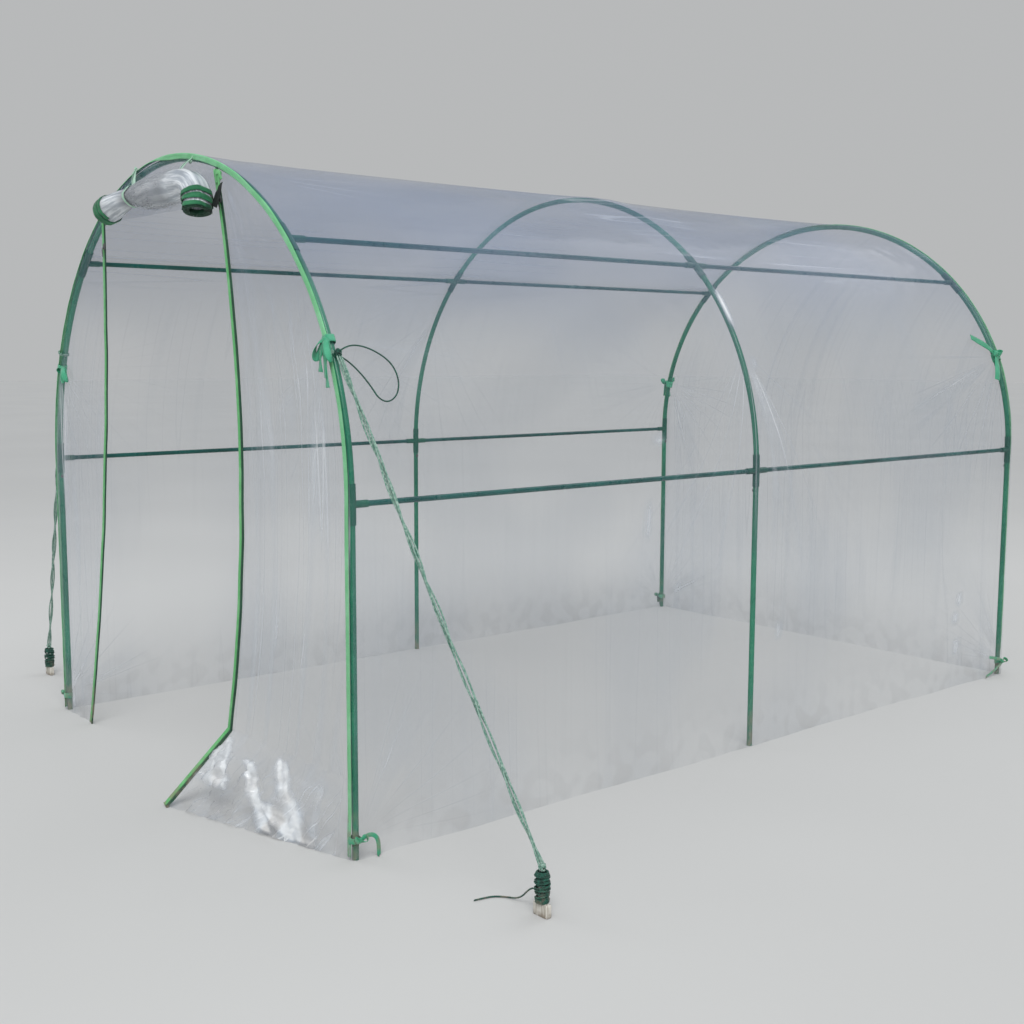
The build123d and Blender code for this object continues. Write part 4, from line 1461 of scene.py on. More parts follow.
@dataclass(frozen=True)
class DoorZip:
    """One side of a door zip: the sewn tape, the dark coil band with its teeth, and the slider left at the
    top. The dark band is the coil, widened as painted shade on the zip's shaded side.
    """

    side: Side
    edge: ZipLine
    light: tuple[float, float]
    # span of the dark band: the coil, widened as painted shade on the zip's shaded side
    dark: tuple[float, float]
    foot: tuple[float, float, float] | None = None
    tooth_spacing: float = 0.0046
    slider_at: int = 12

    def path(self) -> tuple[np.ndarray, np.ndarray]:
        """Places of the door edge from the arch down to the ground, with their outward directions."""
        face = SHAPE.face_y(TunnelEnd.DOOR) - 0.0020
        flat = self.edge.line(220)
        flat = flat[flat[:, 1] < SHAPE.arch_z(float(flat[0, 0]), SHAPE.film_radius) - 0.020]
        line = np.column_stack([flat[:, 0], np.full(len(flat), face), flat[:, 1]])
        out = np.broadcast_to(-ALONG, line.shape).copy()
        if self.foot:
            low = np.linspace(line[-1], np.array(self.foot), 40)[1:]
            line = np.vstack([line, low])
            out = np.vstack([out, np.broadcast_to(unit(SKIRT_OUT), low.shape)])
            kernel = np.ones(13) / 13
            out = unit(np.column_stack([np.convolve(np.pad(out[:, k], 6, "edge"), kernel, "valid")
                                        for k in range(3)]))
        line[:, 2] = np.maximum(line[:, 2], 0.003)
        line[:, 1] -= 0.0012 * (1 + Ripple(81 + self.side).at(np.arange(len(line)) / 14, 0.0))
        return line, out

    def band(self, span: tuple[float, float], height: float) -> np.ndarray:
        """Rounded cross-section over a span of the edge."""
        share = np.linspace(0, 1, 9)
        rise = 0.0010 + height * np.sin(pi * share) ** 0.7
        return np.column_stack([span[0] + (span[1] - span[0]) * share, rise])

    def build(self, shop: Workshop) -> None:
        """Makes the tape, the coil, the teeth and the slider."""
        name = self.side.name.lower()
        path, out = self.path()
        # the dark band is the coil and painted shade of the zip's shaded side
        tape, coil = (Patch(sweep(path, out, self.band(span, height)), finish=number)
                      for number, (span, height) in enumerate(((self.light, 0.0034), (self.dark, 0.0028))))
        strip = show(f"{name}_door_zip", [tape, coil], ZIP_TAPE, ZIP_COIL_AND_SHADE, thickness=0.0009)
        fit(strip, "zip_tape", f"{name}_zip")
        line = sweep(path, out, np.array([(sum(self.dark) / 2, 0.0041)]))[:, 0]
        teeth = shop.repeat.run(f"{name}_zip_teeth", line_mesh([line], out=[out]), ZIP_COIL_AND_SHADE, Item=shop.tooth,
                                Spacing=self.tooth_spacing, Size_Spread=0.0, Seed=3)
        fit(teeth, "zip_tape")
        self.slider(name, line, out)

    def slider(self, name: str, line: np.ndarray, out: np.ndarray) -> None:
        """Makes the slider and its hanging tab, a little way down the zip."""
        at, away = line[self.slider_at], out[self.slider_at]
        down = unit(line[self.slider_at + 1] - at)
        share, ring = np.linspace(-1, 1, 9)[:, None], np.linspace(0, 2 * pi, 15)
        width = 0.0065 * (1 - 0.55 * np.abs(share) ** 3)
        shape = np.stack([np.cos(ring) * width, 0.0016 + 0.45 * np.sin(ring) * width], -1)
        body = Patch(sweep(at + down * 0.011 * share, away, shape))
        tab_line = smooth_line([at - ALONG * 0.0050, at + down * 0.010 - ALONG * 0.0085,
                                at + down * 0.034 - ALONG * 0.0070], 14)
        tab = np.array([(-0.0032, 0), (-0.0015, 0.0006), (0.0015, 0.0006), (0.0032, 0)])
        patches = [body, Patch(sweep(tab_line, away, tab))]
        fit(show(f"{name}_zip_slider", patches, ZINC, thickness=0.0008), "zip_tape")


# The rolled-up door film


@dataclass
class RolledDoor:
    """The door film rolled up and tied under the arch, with its zip tapes showing at both ends."""

    stations: tuple[tuple[float, float, float, float], ...] = (
        (-0.354, -1.6350, 1.8205, 0.0490), (-0.305, -1.6295, 1.8350, 0.0450),
        (-0.230, -1.6220, 1.8520, 0.0370), (-0.165, -1.6175, 1.8610, 0.0310),
        (-0.105, -1.6230, 1.8610, 0.0400), (0.000, -1.6310, 1.8580, 0.0520),
        (0.100, -1.6320, 1.8590, 0.0530), (0.180, -1.6290, 1.8640, 0.0480),
        (0.238, -1.6270, 1.8610, 0.0440), (0.278, -1.6290, 1.8400, 0.0445),
        (0.299, -1.6330, 1.8090, 0.0475), (0.310, -1.6390, 1.7740, 0.0510))
    turns: float = 9.0
    sides: int = 34
    columns: int = 130
    core: float = 0.34
    mouth_core: float = 0.42
    tape_step: float = 0.0180
    tape_turns: float = 2.45
    tape_width: float = 0.0130

    def __post_init__(self) -> None:
        """Smooths the middle line and sets up the skin's folds."""
        self.line = smooth_line(self.stations, 260)
        self.length = line_length(self.line[:, :3])
        self.ripple = Ripple(91)

    def frame(self, run: np.ndarray) -> tuple[np.ndarray, ...]:
        """Middle, sideways direction, outward direction and radius at a distance along the roll."""
        spot = np.linspace(0, self.length, len(self.line))
        middle = np.stack([np.interp(run, spot, self.line[:, k]) for k in range(3)], -1)
        tangent = unit(np.gradient(self.line[:, :3], axis=0))
        out = unit(-ALONG - tangent * (-ALONG * tangent).sum(1, keepdims=True))
        side = np.cross(out, tangent)
        pick = [np.stack([np.interp(run, spot, part[:, k]) for k in range(3)], -1) for part in (side, out)]
        return middle, unit(pick[0]), unit(pick[1]), np.interp(run, spot, self.line[:, 3])

    def skin(self, run: np.ndarray, turn: np.ndarray, share: np.ndarray) -> np.ndarray:
        """Places on the roll.

        Args:
            run: Distance along the roll.
            turn: Angle round it, from sideways towards outwards.
            share: Share of the roll's own radius.

        Returns:
            The places, as wide as the arguments together.
        """
        run, turn, share = np.broadcast_arrays(run, turn, share)
        middle, side, out, radius = self.frame(run)
        c, s = np.cos(turn), np.sin(turn)
        crush = 1 + 0.055 * self.ripple.at(1.6 * c + 5 + run * 5.0, 1.6 * s + 9) * np.minimum(share * 1.2, 1)
        crush = crush + 0.050 * self.ripple.at(4.2 * c + 31, 4.2 * s + 17 + run * 2.6)
        crush = crush + 0.022 * self.ripple.at(10.0 * c + 61, 10.0 * s + 37 + run * 5.0)
        slack = step_up(run, 0.18, 0.30) * step_up(run, self.length - 0.08, self.length - 0.22)
        hang = (side[..., 2] * c + out[..., 2] * s)
        crush = crush + 0.10 * slack * np.maximum(-hang, 0) - 0.05 * slack * np.maximum(hang, 0)
        size = (radius * share * crush)[..., None]
        return middle + side * (c[..., None] * size) + out * (s[..., None] * size)

    def edge(self, turns: np.ndarray, start: bool) -> np.ndarray:
        """Distance along the roll of the film's edge at each turn, further in on the outer turns."""
        outer = np.maximum(turns - (self.turns - self.tape_turns), 0) * self.tape_step
        wander = 0.0035 * Ripple(92 + start).at(turns * 0.9, 0.3)
        inset = 0.0015 + outer + wander
        return inset if start else self.length - inset

    def share_at(self, turns: np.ndarray, run: np.ndarray) -> np.ndarray:
        """Share of the outer radius at each turn; the roll is hollow at its ends."""
        mouth = np.maximum(step_up(run, self.length - 0.19, self.length - 0.05), step_up(run, 0.16, 0.04))
        core = self.core + (self.mouth_core - self.core) * mouth
        return core + (1 - core) * turns / self.turns

    def build(self) -> None:
        """Makes the rolled film and the tape at its edges."""
        turns = np.linspace(0, self.turns, int(self.turns * self.sides) + 1)[:, None]
        share = np.linspace(0, 1, self.columns)[None]
        run = self.edge(turns, True) * (1 - share) + self.edge(turns, False) * share
        grid = self.skin(run, 2 * pi * turns + self.lap(run), self.share_at(turns, run))
        cloth = np.stack(np.broadcast_arrays(run, turns * 0.18), -1)
        film = show("rolled_door_film", [Patch(grid, cloth)], ROLLED_FILM)
        fit(film, "rolled_film", "door_roll")
        tapes = [*self.edge_tape(True), *self.edge_tape(False)]
        tape = show("rolled_door_tape", tapes, DARK_TAPE, ZIP_COIL_AND_SHADE, thickness=0.0013)
        fit(tape, "dark_tape", "door_roll_tapes")

    def edge_tape(self, start: bool) -> list[Patch]:
        """Tape along one edge of the film: the turns that show, and the ones inside the roll, dark as
        painted shade in the roll's mouth.
        """
        shown_from = self.turns - self.tape_turns
        turns = np.linspace(0, self.turns, int(self.turns * self.sides * 1.2))[:, None]
        across = np.linspace(-0.0008, self.tape_width, 4)[None]
        run = self.edge(turns, start) + across * (1 if start else -1)
        lift = 0.006 + 0.032 * step_up(turns, shown_from - 0.3, shown_from)
        grid = self.skin(run, 2 * pi * turns + self.lap(run), self.share_at(turns, run) + lift)
        shown = int(np.searchsorted(turns[:, 0], shown_from))
        # inner turns take the dark coil finish: painted shade inside the roll's mouth
        return [Patch(grid[shown:]), Patch(grid[:shown + 1], finish=1)]

    def lap(self, run: np.ndarray) -> np.ndarray:
        """Angle of the film's loose edge along the roll, round at the back."""
        return 2.6 + 0.5 * Ripple(94).at(np.asarray(run) * 7.0, 0.6)

    def ring(self, run: float, width: float, lift: float) -> Patch:
        """Ribbon once round the roll at a distance along it."""
        turn = np.linspace(0, 2 * pi, 61)[:, None]
        across = run + np.linspace(-width / 2, width / 2, 5)[None] + 0.002 * np.sin(3 * turn)
        return Patch(self.skin(across, turn, 1.0 + lift + 0.01 * np.sin(np.linspace(0, pi, 5))[None]))

    def run_at(self, x: float) -> float:
        """Distance along the roll where it is at that place across the tunnel."""
        spot = np.linspace(0, self.length, len(self.line))
        return float(np.interp(x, self.line[:, 0], spot))


@dataclass
class DoorRibbons:
    """Two ribbons that hold the roll up to the arch, a dark strap and the loose end of the right zip.

    A ribbon is its place across, how far it leans to the right on its way up, and its width.
    """

    roll: RolledDoor
    left: tuple[float, float, float] = (-0.165, -0.060, 0.017)
    right: tuple[float, float, float] = (0.190, -0.022, 0.006)
    ring_lift: float = 0.10
    thickness: float = 0.0009

    def build(self) -> None:
        """Makes the ribbons, the strap and the zip's end."""
        ring = self.roll.ring(self.roll.run_at(self.left[0]), self.left[2], self.ring_lift)
        patches = [ring, *self.hanger(*self.left), *self.hanger(*self.right)]
        piece = show("rolled_door_ribbons", patches, PALE_RIBBON, thickness=self.thickness)
        fit(piece, "ribbon", "door_roll_ties")
        self.strap()
        self.zip_end()

    def hanger(self, x: float, lean: float, width: float) -> list[Patch]:
        """One ribbon from the roll up to the arch, in two runs, with its knot."""
        middle, _, _, radius = self.roll.frame(np.array([self.roll.run_at(x)]))
        height = SHAPE.arch_z(x, SHAPE.hoop_radius) + 0.004
        high = np.array((x + lean, SHAPE.face_y(TunnelEnd.DOOR) - 0.0045, height))
        runs = []
        for shift in (-0.004, 0.005):
            low = middle[0] + UP * float(radius[0]) * 0.92 + ACROSS * shift
            bend = (low + high) / 2 + np.array((shift, -0.004, 0.0))
            line = smooth_line([low, bend, high, high + np.array((0, 0.004, 0.009))], 26)
            outward = -ALONG + 0.5 * shift / 0.005 * ACROSS
            runs.append(Patch(sweep(line, outward, ribbon_profile(width * 0.8, 0.0012, 5))))
        return runs + knot_patches(high + np.array((0.0, -0.005, -0.010)), 0.0058, ACROSS, UP, -ALONG)

    @staticmethod
    def strap() -> None:
        """Makes the dark strap that hangs beside the roll."""
        top = np.array((0.358, SHAPE.face_y(TunnelEnd.DOOR) - 0.012, 1.850))
        line = smooth_line([top, top + (0.008, -0.010, -0.018), top + (0.006, -0.016, -0.040),
                            top + (-0.002, -0.020, -0.064)], 30)
        band = Patch(sweep(line, -ALONG, ribbon_profile(0.030, 0.0015, 5)))
        fit(show("door_strap", [band], BLACK_STRAP, thickness=0.0018), "dark_tape")

    @staticmethod
    def zip_end() -> None:
        """Makes the knotted loose end of the right zip."""
        face, end = SHAPE.face_y(TunnelEnd.DOOR), []
        start = np.array((0.344, face - 0.0062, 1.884))
        for number, (dx, dz) in enumerate(((-0.013, -0.026), (0.004, -0.052), (0.018, -0.020))):
            bend = start + (dx * 0.5, -0.006, 0.006 - 0.004 * number)
            line = smooth_line([start, bend, start + (dx, -0.004, dz)], 18)
            end.append(Patch(sweep(line, -ALONG, ribbon_profile(0.012, 0.002, 5))))
        end += knot_patches(np.array((0.344, face - 0.009, 1.884)), 0.0090, ACROSS, UP, -ALONG)
        fit(show("right_zip_end", end, ZIP_TAPE, thickness=0.0010), "zip_tape")


def ribbon_profile(width: float, crown: float, count: int) -> np.ndarray:
    """Slightly arched cross-section of a flat ribbon."""
    share = np.linspace(-1, 1, count)
    return np.column_stack([share * width / 2, crown * (1 - share ** 2)])


def knot_patches(place: np.ndarray, size: float, across: np.ndarray, up: np.ndarray,
                 out: np.ndarray) -> list[Patch]:
    """A pulled-tight ribbon knot.

    Args:
        place: The knot's middle.
        size: Half its width.
        across: Its sideways direction.
        up: Its upward direction.
        out: Its outward direction.

    Returns:
        The bands that cross over each other.
    """
    bands, turn = [], np.linspace(0, 2 * pi, 25)
    for number, (tilt, scale) in enumerate(((0.35, 1.0), (-0.55, 0.90), (1.25, 0.82))):
        first = across * cos(tilt) + up * sin(tilt)
        beside, rise = np.cos(turn) * size * scale, np.sin(turn) * size * 0.72 * scale
        ring = place + (first * beside[:, None] + out * rise[:, None])
        width = size * (1.05 + 0.25 * np.sin(2 * turn + number))
        crown = np.stack([ribbon_profile(w, 0.12 * size, 5) for w in width])
        shift = np.cross(out, first) * 0.06 * size * (number - 1)
        bands.append(Patch(sweep(ring, unit(ring - place), crown) + shift))
    return bands


def squared_ring(turn: np.ndarray, corner: float) -> tuple[np.ndarray, np.ndarray]:
    """Places on a ring that is 2 wide and the squarer the larger the corner number is."""
    c, s = np.cos(turn), np.sin(turn)
    size = (np.abs(c) ** corner + np.abs(s) ** corner) ** (-1 / corner)
    return c * size, s * size


# Ribbon ties


@dataclass(frozen=True)
class Tail:
    """Loose end of a ribbon: its length, and its direction where it starts and ends, from straight down."""

    length: float
    start: float
    finish: float


@dataclass(frozen=True)
class RibbonTie:
    """Ribbon wound twice round a hoop and the film's corner, and tied in a bow."""

    end: TunnelEnd
    side: Side
    spot: TieSpot
    angle: float
    tails: tuple[Tail, ...]
    bow: float = 0.030
    seed: int = 0
    width: float = 0.0120
    aside: float = 0.0
    bias: float = 0.0
    droop: float = 0.22
    knot_size: float = 0.0056

    @property
    def run(self) -> float:
        """Distance along the film's outline to the tie."""
        if self.spot is TieSpot.ARCH:
            return SHAPE.arch_run(self.side, self.angle)
        return SHAPE.side_run(self.side, SHAPE.foot_tie)

    def frame(self) -> tuple[np.ndarray, np.ndarray, np.ndarray]:
        """The tube's middle, the direction away from the tunnel and the direction up the tube."""
        film, out = SHAPE.outline(np.array([self.run]))
        middle = film[0] - out[0] * SHAPE.film_gap + ALONG * SHAPE.hoop_y(self.end)
        return middle, out[0], np.cross(out[0], -ALONG) * self.side

    def band(self, shift: float, tilt: float) -> Patch:
        """One wrap round the tube and the film's corner."""
        middle, out, up = self.frame()
        turn = np.linspace(0, 2 * pi, 49)
        inside, outside = -0.0104, 0.0178
        centre, half = (inside + outside) / 2, (outside - inside) / 2
        c, s = np.cos(turn), np.sin(turn)
        across, along = squared_ring(turn, 4)
        half = half * (1 + 0.02 * Ripple(self.seed).at(turn * 2, shift * 90))
        first, second = centre + half * across, self.end * (centre + half * along)
        path = middle + out * first[:, None] + ALONG * second[:, None] + up * (shift + tilt * c)[:, None]
        outward = out * c[:, None] + ALONG * (self.end * s)[:, None]
        return Patch(sweep(path, outward, ribbon_profile(self.width, 0.0007, 5)))

    def knot(self) -> tuple[np.ndarray, np.ndarray, np.ndarray, np.ndarray]:
        """The knot's middle with its sideways, upward and outward directions."""
        middle, out, up = self.frame()
        if self.end is TunnelEnd.DOOR and self.spot is TieSpot.ARCH:
            return middle - ALONG * SHAPE.knot_gap + ACROSS * self.aside, ACROSS, UP, -ALONG
        return middle + out * SHAPE.knot_gap + ALONG * self.aside, ALONG * self.side, up, out

    def bow_loop(self, way: int) -> Patch:
        """One loop of the bow."""
        place, across, up, out = self.knot()
        turn = np.linspace(0, 1, 31)
        far = self.bow * (1 + way * self.bias + 0.16 * Ripple(self.seed + 5).at(way * 3.3, 1.5))
        reach = far * np.sin(pi * turn) ** 0.75
        swell = 0.0085 * np.sin(2 * pi * turn)
        sag = -self.droop * reach ** 2 / far - 0.004 * np.sin(pi * turn)
        path = (place + across * (way * reach)[:, None] + up * (sag + 0.6 * swell)[:, None]
                + out * (0.0026 + 0.8 * swell + 0.0045 * np.sin(pi * turn))[:, None])
        outward = unit(out * np.cos(pi * turn)[:, None] * 0.8 + up * np.cos(pi * turn)[:, None] * 0.6
                       + across * (way * np.sin(pi * turn))[:, None])
        return Patch(sweep(path, outward, ribbon_profile(self.width * 0.92, 0.0008, 5)))

    def tail(self, tail: Tail, number: int) -> Patch:
        """One loose end, lying on the cover or hanging in front of the door film."""
        place, across, up, out = self.knot()
        share = np.linspace(0, 1, 30)
        turn = np.radians(tail.start + (tail.finish - tail.start) * step_up(share, 0.0, 0.7))
        step = tail.length / 29
        beside = np.concatenate([[0], np.cumsum(np.sin(turn[1:]) * step)])
        down = np.concatenate([[0], np.cumsum(np.cos(turn[1:]) * step)])
        curl = 0.0024 * Ripple(self.seed + 7 + number).at(share * 3.0, 0.5) * step_up(share, 0.1, 0.5)
        high = 0.0050 + 0.0030 * np.sin(pi * share) + curl + 0.0008 * number
        if self.end is TunnelEnd.DOOR and self.spot is TieSpot.ARCH:
            path = place + ACROSS * beside[:, None] - UP * down[:, None] - ALONG * (high - 0.004)[:, None]
            outward = np.broadcast_to(-ALONG, path.shape)
        else:
            run = self.run - self.side * (down if self.spot is TieSpot.ARCH else np.minimum(down, 0.052))
            path, outward = SHAPE.outline(run, 0.0058 + high)
            path[:, 1] = place[1] + beside
        twist = radians(38) * Ripple(self.seed + 9 + number).at(share * 1.6, 0.2)
        outward = outward * np.cos(twist)[:, None] + across * np.sin(twist)[:, None]
        return Patch(sweep(path, outward, ribbon_profile(self.width, 0.0006, 5)))

    def patches(self) -> list[Patch]:
        """All of the tie."""
        place, across, up, out = self.knot()
        bands = [self.band(-0.0016, 0.0012), self.band(0.0042, -0.0026)]
        loops = [self.bow_loop(way) for way in (-1, 1)]
        tails = [self.tail(tail, number) for number, tail in enumerate(self.tails)]
        return bands + loops + tails + knot_patches(place, self.knot_size, across, up, out)


def make_ties() -> None:
    """Builds the ribbon ties of both ends."""
    door, rear, right, left = TunnelEnd.DOOR, TunnelEnd.REAR, Side.RIGHT, Side.LEFT
    arch, foot = TieSpot.ARCH, TieSpot.FOOT
    ties = {
        "front": [
            RibbonTie(door, right, arch, 25.7,
                      (Tail(0.125, 8, 4), Tail(0.100, 18, -4), Tail(0.086, -26, -4)),
                      0.036, 110, 0.0190, 0.014, knot_size=0.0082, droop=1.20),
            RibbonTie(door, left, arch, 20, (Tail(0.056, 4, 8), Tail(0.050, 34, 4)), 0.030, 120,
                      0.0190, 0.046, bias=0.75, droop=0.75),
            RibbonTie(door, right, foot, 0, (Tail(0.125, 130, 5),), 0.017, 130),
            RibbonTie(door, left, foot, 0, (Tail(0.038, -25, 6), Tail(0.036, 24, 0)), 0.020, 140)],
        "rear": [
            RibbonTie(rear, right, arch, 23, (Tail(0.170, -128, -115), Tail(0.120, -34, -22)), 0.026, 150,
                      0.0260, -0.024),
            RibbonTie(rear, left, arch, 14, (Tail(0.070, 10, 8), Tail(0.090, 42, 26)), 0.044, 160, 0.0230,
                      bias=-0.40),
            RibbonTie(rear, right, foot, 0, (Tail(0.115, -118, -102), Tail(0.140, -66, -72)), 0.020, 170),
            RibbonTie(rear, left, foot, 0, (Tail(0.038, -22, 4), Tail(0.036, 26, -2)), 0.020, 180)],
    }
    for name, group in ties.items():
        patches = [patch for tie in group for patch in tie.patches()]
        fit(show(f"{name}_ties", patches, RIBBON, thickness=0.0010), "ribbon", f"{name}_ribbon_ties")


# Ropes, cords and stakes


def cord_line(name: str, route: Sequence[tuple[float, float, float]]) -> np.ndarray:
    """Smooth line of a cord.

    Args:
        name: Name of the curve it is read from.
        route: Control points of the cord's spline.

    Returns:
        Places along the spline.
    """
    curve = bpy.data.curves.new(name, "CURVE")
    curve.dimensions = "3D"
    curve.resolution_u = 16
    spline = curve.splines.new("NURBS")
    spline.points.add(len(route) - 1)
    for point, place in zip(spline.points, route):
        point.co = (*place, 1.0)
    spline.order_u = 3
    spline.use_endpoint_u = True
    base = link(name, curve)
    graph = bpy.context.evaluated_depsgraph_get()
    read = bpy.data.meshes.new_from_object(base.evaluated_get(graph))
    line = np.array([vertex.co[:] for vertex in read.vertices])
    bpy.data.objects.remove(base)
    bpy.data.meshes.remove(read)
    return line


@dataclass(frozen=True)
class SpareCord:
    """A loose twisted cord along its own spline."""

    name: str
    node: str
    route: tuple[tuple[float, float, float], ...]
    length: float
    far_end: str
    stiffness: str
    diameter: float = 0.005

    def build(self, shop: Workshop) -> None:
        line = cord_line(self.name + ".line", self.route)
        strand = self.diameter / 4
        piece = shop.twist.run(self.name, line_mesh([line]), DARK_CORD, Strands=2,
                               Strand_Radius=strand * 1.06,
                               Lay_Radius=strand * 0.94, Turns_per_Metre=95.0, Spacing=0.0012, Sides=7)
        fit(piece, "dark_cord", self.node)
        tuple(self.route[0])


def tangle(place: np.ndarray, size: tuple[float, float, float], seed: int, turns: float = 5.0) -> np.ndarray:
    """Line wound up on itself, as in a knot.

    Args:
        place: The knot's middle.
        size: Half its sizes along the three axes.
        seed: Number that fixes the winding.
        turns: How often it goes round.

    Returns:
        Places on the line.
    """
    t = np.linspace(0, 2 * pi * turns, int(36 * turns))
    a, b, c = np.random.default_rng(seed).uniform(0, 2 * pi, 3)
    wide = np.cos(t + a) * (0.72 + 0.28 * np.cos(0.37 * t))
    swing = np.stack([wide, np.sin(0.91 * t + b), np.cos(0.63 * t + c)], 1)
    return place + unit(swing) * np.array(size) * (0.86 + 0.14 * np.sin(2.3 * t + a))[:, None]


@dataclass(frozen=True)
class GuyRope:
    """Rope from the front hoop to a stake: twisted strands, a knot at each end and a dark lashing above."""

    side: Side
    top: tuple[float, float, float] = (0.9330, -1.56235, 1.3660)
    bottom: tuple[float, float, float] = (1.585, -1.41235, 0.1236)
    sag: float = 0.016
    strand: float = 0.0023

    def place(self, at: tuple[float, float, float]) -> np.ndarray:
        """A place on this rope's side of the tunnel."""
        return np.array((self.side * at[0], at[1], at[2]))

    def build(self, shop: Workshop) -> None:
        """Makes the rope, its knots and the lashing round the hoop."""
        name = self.side.name.lower()
        top, bottom = self.place(self.top), self.place(self.bottom)
        share = np.linspace(0, 1, 90)
        line = top + (bottom - top) * share[:, None] - UP * (self.sag * np.sin(pi * share))[:, None]
        lay = {"Strand_Radius": self.strand, "Spacing": 0.006, "Sides": 8}
        pair = shop.twist.run(f"{name}_rope_pair", line_mesh([line]), ROPE, Strands=2, Lay_Radius=0.0064,
                              Turns_per_Metre=2.9, **lay)
        wander, free = Ripple(200 + self.side), []
        for way in (-1, 1):
            spread = 0.7 + 0.7 * wander.at(share * 5, way + 0.4)
            beside = self.side * way * 0.0120 * np.sin(pi * share) ** 0.5 * spread
            behind = 0.0090 * np.sin(pi * share) * wander.at(share * 6, way + 3.3)
            free.append(line + ACROSS * beside[:, None] + ALONG * behind[:, None])
        single = {"Strands": 1, "Lay_Radius": 0.0, "Turns_per_Metre": 0.0}
        third = shop.twist.run(f"{name}_rope_strands", line_mesh(free), ROPE, **single, **lay)
        knot = tangle(bottom, (0.0095, 0.0090, 0.0100), 220 + self.side, 5.0)
        ends = shop.twist.run(f"{name}_rope_knot", line_mesh([knot]), ROPE, Strand_Radius=self.strand,
                              Spacing=0.002, Sides=7, **single)
        fit(pair, "rope", f"{name}_guy_rope")
        fit(third, "rope")
        fit(ends, "rope")
        self.lashing(shop, name)

    def lashing(self, shop: Workshop, name: str) -> None:
        """Makes the cord wound round the hoop and the film's corner, and its knots."""
        middle, out, up = RibbonTie(TunnelEnd.DOOR, self.side, TieSpot.ARCH, 23.2, ()).frame()
        turn = np.linspace(0, 2 * pi * 3, 150)
        outward, forward = (0.0044 + 0.0162 * part for part in squared_ring(turn, 4))
        path = middle + out * outward[:, None] - ALONG * forward[:, None]
        path = path + up * ((turn / turn[-1] - 0.5) * 0.0085)[:, None]
        lay = {"Strands": 2, "Turns_per_Metre": 110.0, "Spacing": 0.0016, "Sides": 6}
        wound = shop.twist.run(f"{name}_lashing", line_mesh([path]), ROPE, Strand_Radius=0.0010,
                               Lay_Radius=0.0009, **lay)
        low = middle + out * SHAPE.knot_gap + ALONG * 0.0030
        knots = [tangle(low, (0.0070, 0.0085, 0.0075), 230 + self.side, 4.0),
                 tangle(self.place(self.top), (0.0100, 0.0110, 0.0110), 210 + self.side, 6.0)]
        knot = shop.twist.run(f"{name}_upper_knot", line_mesh(knots), DARK_CORD, Strand_Radius=0.0013,
                              Lay_Radius=0.0012, **lay)
        fit(wound, "rope")
        fit(knot, "rope")


@dataclass(frozen=True)
class Stake:
    """Flat-topped wooden stake with cord wound thickly round its neck."""

    side: Side
    x: float = 1.585
    y: float = -1.41235
    foot: tuple[float, float, float] = (0.052, 0.018, 0.034)
    neck: float = 0.017
    neck_top: float = 0.072
    corner: float = 9.0
    turns: float = 46.0

    def ring(self, wide: float, deep: float, height: float) -> np.ndarray:
        """Points round the stake at a height."""
        turn = np.linspace(0, 2 * pi, 65)
        wobble = 1 + 0.006 * Ripple(240 + self.side).at(np.cos(turn) * 3 + 9, np.sin(turn) * 3 + height * 60)
        across, along = squared_ring(turn, self.corner)
        x = self.side * self.x + wide / 2 * across * wobble
        return np.column_stack([x, self.y + deep / 2 * along * wobble, np.full_like(x, height)])

    def windings(self) -> np.ndarray:
        """Line of the cord, wound up and down the neck in layers."""
        t = np.linspace(0, 1, 1700)
        turn = 2 * pi * self.turns * t
        rise = 0.5 - 0.5 * np.cos(2 * pi * 2.5 * t + 0.5 * Ripple(250 + self.side).at(t * 17, 0.2))
        layer = 0.0125 + 0.0072 * t * (0.62 + 0.38 * np.sin(pi * rise))
        layer = layer + 0.0012 * Ripple(251 + self.side).at(t * 90, 0.7)
        height = np.clip(0.0372 + 0.0735 * rise + 0.0030 * np.sin(turn * 0.5), 0.0366, 0.1120)
        x, y = self.side * self.x + layer * np.cos(turn), self.y + layer * np.sin(turn)
        return np.column_stack([x, y, height])

    def build(self, shop: Workshop) -> Patch:
        """Makes the windings, and the stake's own shape for the shared mesh."""
        cord = shop.twist.run(f"{self.side.name.lower()}_windings", line_mesh([self.windings()]), DARK_CORD,
                              Strands=2, Strand_Radius=0.0013, Lay_Radius=0.0012, Turns_per_Metre=90.0,
                              Spacing=0.0030, Sides=6)
        fit(cord, "dark_cord", *(("stake_cord_wraps",) if self.side is Side.RIGHT else ()))
        (wide, deep, high), neck, top, tip = self.foot, self.neck, self.neck_top, 0.0004
        rings = ((tip, tip, 0.0), (wide - 0.004, deep - 0.003, 0.0), (wide - 0.001, deep, 0.002),
                 (wide, deep, 0.012), (wide, deep, high - 0.004), (wide - 0.002, deep - 0.002, high - 0.001),
                 (wide - 0.006, deep - 0.005, high), (tip, tip, high), (tip, tip, high - 0.002),
                 (neck, neck, high - 0.002), (neck, neck, top - 0.002), (neck - 0.003, neck - 0.003, top),
                 (tip, tip, top))
        return Patch(np.stack([self.ring(*ring) for ring in rings]))


LOOP_ROUTE = ((7, -6), (28, -18), (60, -25), (97, -18), (133, 0), (162, 24), (176, 55), (176, 90),
              (160, 121), (130, 137), (102, 126), (87, 98), (67, 66), (44, 38), (22, 17), (6, 8))
TAIL_ROUTE = ((1561, 150, 62), (1545, 151, 58), (1523, 154, 41), (1501, 158, 20), (1476, 159, 6),
              (1447, 150, 3), (1425, 129, 3), (1417, 101, 3), (1413, 74, 3))


